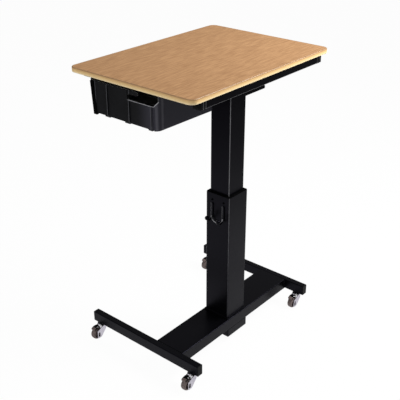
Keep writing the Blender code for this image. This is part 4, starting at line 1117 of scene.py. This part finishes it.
ARM_SPAN = (58, 126)  # degrees round the axle, from the front
ARM_HALF = 0.0103  # half of its width
PAD_SPAN = (106, 131)
PAD_HALF = 0.0086
STUD_BALL = 0.0064
STUD_PLACE = (64.0, 0.0308, -0.0060)  # degrees, distance from the axle, and along Y
RING_PLACE = (92.0, PEDAL_OUTER - 0.0010, -0.0074)
STUD_FOOT = [(0.0027, -0.0052), (0.0, -0.0052)]
STUD_CAP = arc_points((0, 0, 0), (1, 0, 0), (0, 0, 1), STUD_BALL, 90, -46, 8)
STUD_PROFILE = [(spot.x, spot.z) for spot in STUD_CAP] + STUD_FOOT
RING_PROFILE = [(0.0014, 0.0), (0.0014, 0.0010), (0.0019, 0.0013), (0.0026, 0.0010), (0.0028, 0.0),
                (0.0014, 0.0)]


def round_wheel(angle, radius, y):
    """A point over the wheel, and the direction from the axle to it."""
    out = Vector((math.cos(math.radians(angle)), 0, math.sin(math.radians(angle))))
    return Vector((-TRAIL, y, WHEEL_RADIUS)) + radius * out, out


for caster in CASTERS:
    body = f"{caster}_brake"
    arm = curved_plate(PEDAL_INNER + 0.0004, PEDAL_OUTER - 0.0008, *ARM_SPAN, ARM_HALF, 10)
    round_edges(arm, sharp_edges(arm), 0.0008)
    add_piece(f"{caster}_pedal_arm", at_stem(arm, caster), black_plastic, body,
              [f"{caster}_brake_pedal"])
    pad = curved_plate(PEDAL_INNER, PEDAL_OUTER, *PAD_SPAN, PAD_HALF, 6)
    round_edges(pad, sharp_edges(pad), 0.0019, 3)
    add_piece(f"{caster}_pedal_pad", at_stem(pad, caster), taupe_plastic, body)
    studs = bmesh.new()
    add_turned(studs, STUD_PROFILE, *round_wheel(*STUD_PLACE))
    add_turned(studs, RING_PROFILE, *round_wheel(*RING_PLACE), 16)
    add_piece(f"{caster}_pedal_studs", at_stem(studs, caster), bright_chrome, body)

# %% [markdown]
# ## Welds, caps and screws
#
# The parts of the frame are welded, and a weld shows as a small rippled bead along the joint. Each end
# cap of the back rail has two thin rings. Screws hold the arms and rails under the worktop. All of these
# are small, but they are what tells a real frame from a set of plain bars.

# %% Weld beads
BEAM_BEAD = 0.0024  # radius of the beads on the beam's ends
FOOT_BEAD = 0.0020  # round the column's foot
HEAD_BEAD = 0.0022  # round its head
RIPPLE = 0.0030
BEAD_SIDES = 8


def add_bead(shape, start, end, radius):
    """A bead from one point to another, thick and thin by turns along its length."""
    start, end = Vector(start), Vector(end)
    steps = max(4, round((end - start).length / RIPPLE) * 2)
    path = [start.lerp(end, step / steps) for step in range(steps + 1)]
    first = len(shape.verts)
    add_rod(shape, path, radius, BEAD_SIDES)
    shape.verts.ensure_lookup_table()
    for step in range(1, steps + 1, 2):
        ring = shape.verts[first + BEAD_SIDES * step:first + BEAD_SIDES * (step + 1)]
        bmesh.ops.scale(shape, vec=(0.8, 0.8, 0.8), space=Matrix.Translation(-path[step]), verts=ring)


def add_frame_of_beads(shape, tube, height, margin, radius):
    """A bead along each side of a square tube, short of its corners by a margin."""
    low, high = node_box(tube)
    for x in (low.x, high.x):
        add_bead(shape, (x, low.y + margin, height), (x, high.y - margin, height), radius)
    for y in (low.y, high.y):
        add_bead(shape, (low.x + margin, y, height), (high.x - margin, y, height), radius)


base_welds = bmesh.new()
low, high = node_box("crossbeam")
for x in (low.x, high.x):
    for y in (low.y, high.y):
        add_bead(base_welds, (x, y, low.z + 0.004), (x, y, high.z - 0.004), BEAM_BEAD)
add_frame_of_beads(base_welds, "outer_column", node_box("column_base_plate")[1].z, 0.006, FOOT_BEAD)
add_piece("base_welds", base_welds, coat, "base")

head_welds = bmesh.new()
add_frame_of_beads(head_welds, "inner_column", node_box("inner_column")[1].z, 0.004, HEAD_BEAD)
add_piece("head_welds", head_welds, coat, "top")

# %% Rail end caps
CAP_LENGTH = 0.0245
RING_PLACES = (0.0, 0.0118)  # from the rail's end
RING_WIDTH = 0.0022
RING_PROUD = 0.0003

caps = bmesh.new()
rings = bmesh.new()
low, high = node_box("back_rail")
for x, out in ((low.x, -1), (high.x, 1)):
    reach = sorted((x, x + out * CAP_LENGTH))
    cap = add_block(caps, (reach[0], low.y, low.z), (reach[1], high.y, high.z))
    round_edges(caps, edges_of(cap), 0.0016)
    for place in RING_PLACES:
        middle = x + out * place
        ring = add_block(rings, (middle - RING_WIDTH / 2, low.y - RING_PROUD, low.z - RING_PROUD),
                         (middle + RING_WIDTH / 2, high.y + RING_PROUD, high.z))
        round_edges(rings, edges_of(ring), 0.0005)
add_piece("back_rail_caps", caps, black_plastic, "top",
          [f"back_rail_cap_{side}" for side in SIDES])
add_piece("rail_cap_rings", rings, worn_steel, "top")

# %% Screws under the worktop
SCREW_PROFILE = [(0.0, 0.0026), (0.0016, 0.0026), (0.0018, 0.0014), (0.0024, 0.0014), (0.0030, 0.0024),
                 (0.0044, 0.0018), (0.0052, 0.0006), (0.0052, 0.0), (0.0, 0.0)]

ARM_SCREWS = (0.12, 0.62, 0.88)  # as shares of an arm's length
RAIL_SCREWS = (0.06, 0.30, 0.70, 0.94)


def add_screw(shape, bar, share_x, share_y):
    """A screw under a bar, at shares of the way along its box."""
    low, high = node_box(bar)
    place = Vector((low.x + share_x * (high.x - low.x), low.y + share_y * (high.y - low.y), low.z))
    add_turned(shape, SCREW_PROFILE, place, (0, 0, -1))


screws = bmesh.new()
for side in SIDES:
    for share in ARM_SCREWS:
        add_screw(screws, f"top_arm_{side}", 0.5, share)
for end in ENDS:
    for share in RAIL_SCREWS:
        add_screw(screws, f"{end}_rail", share, 0.5)
add_piece("frame_screws", screws, dark_steel, "top")
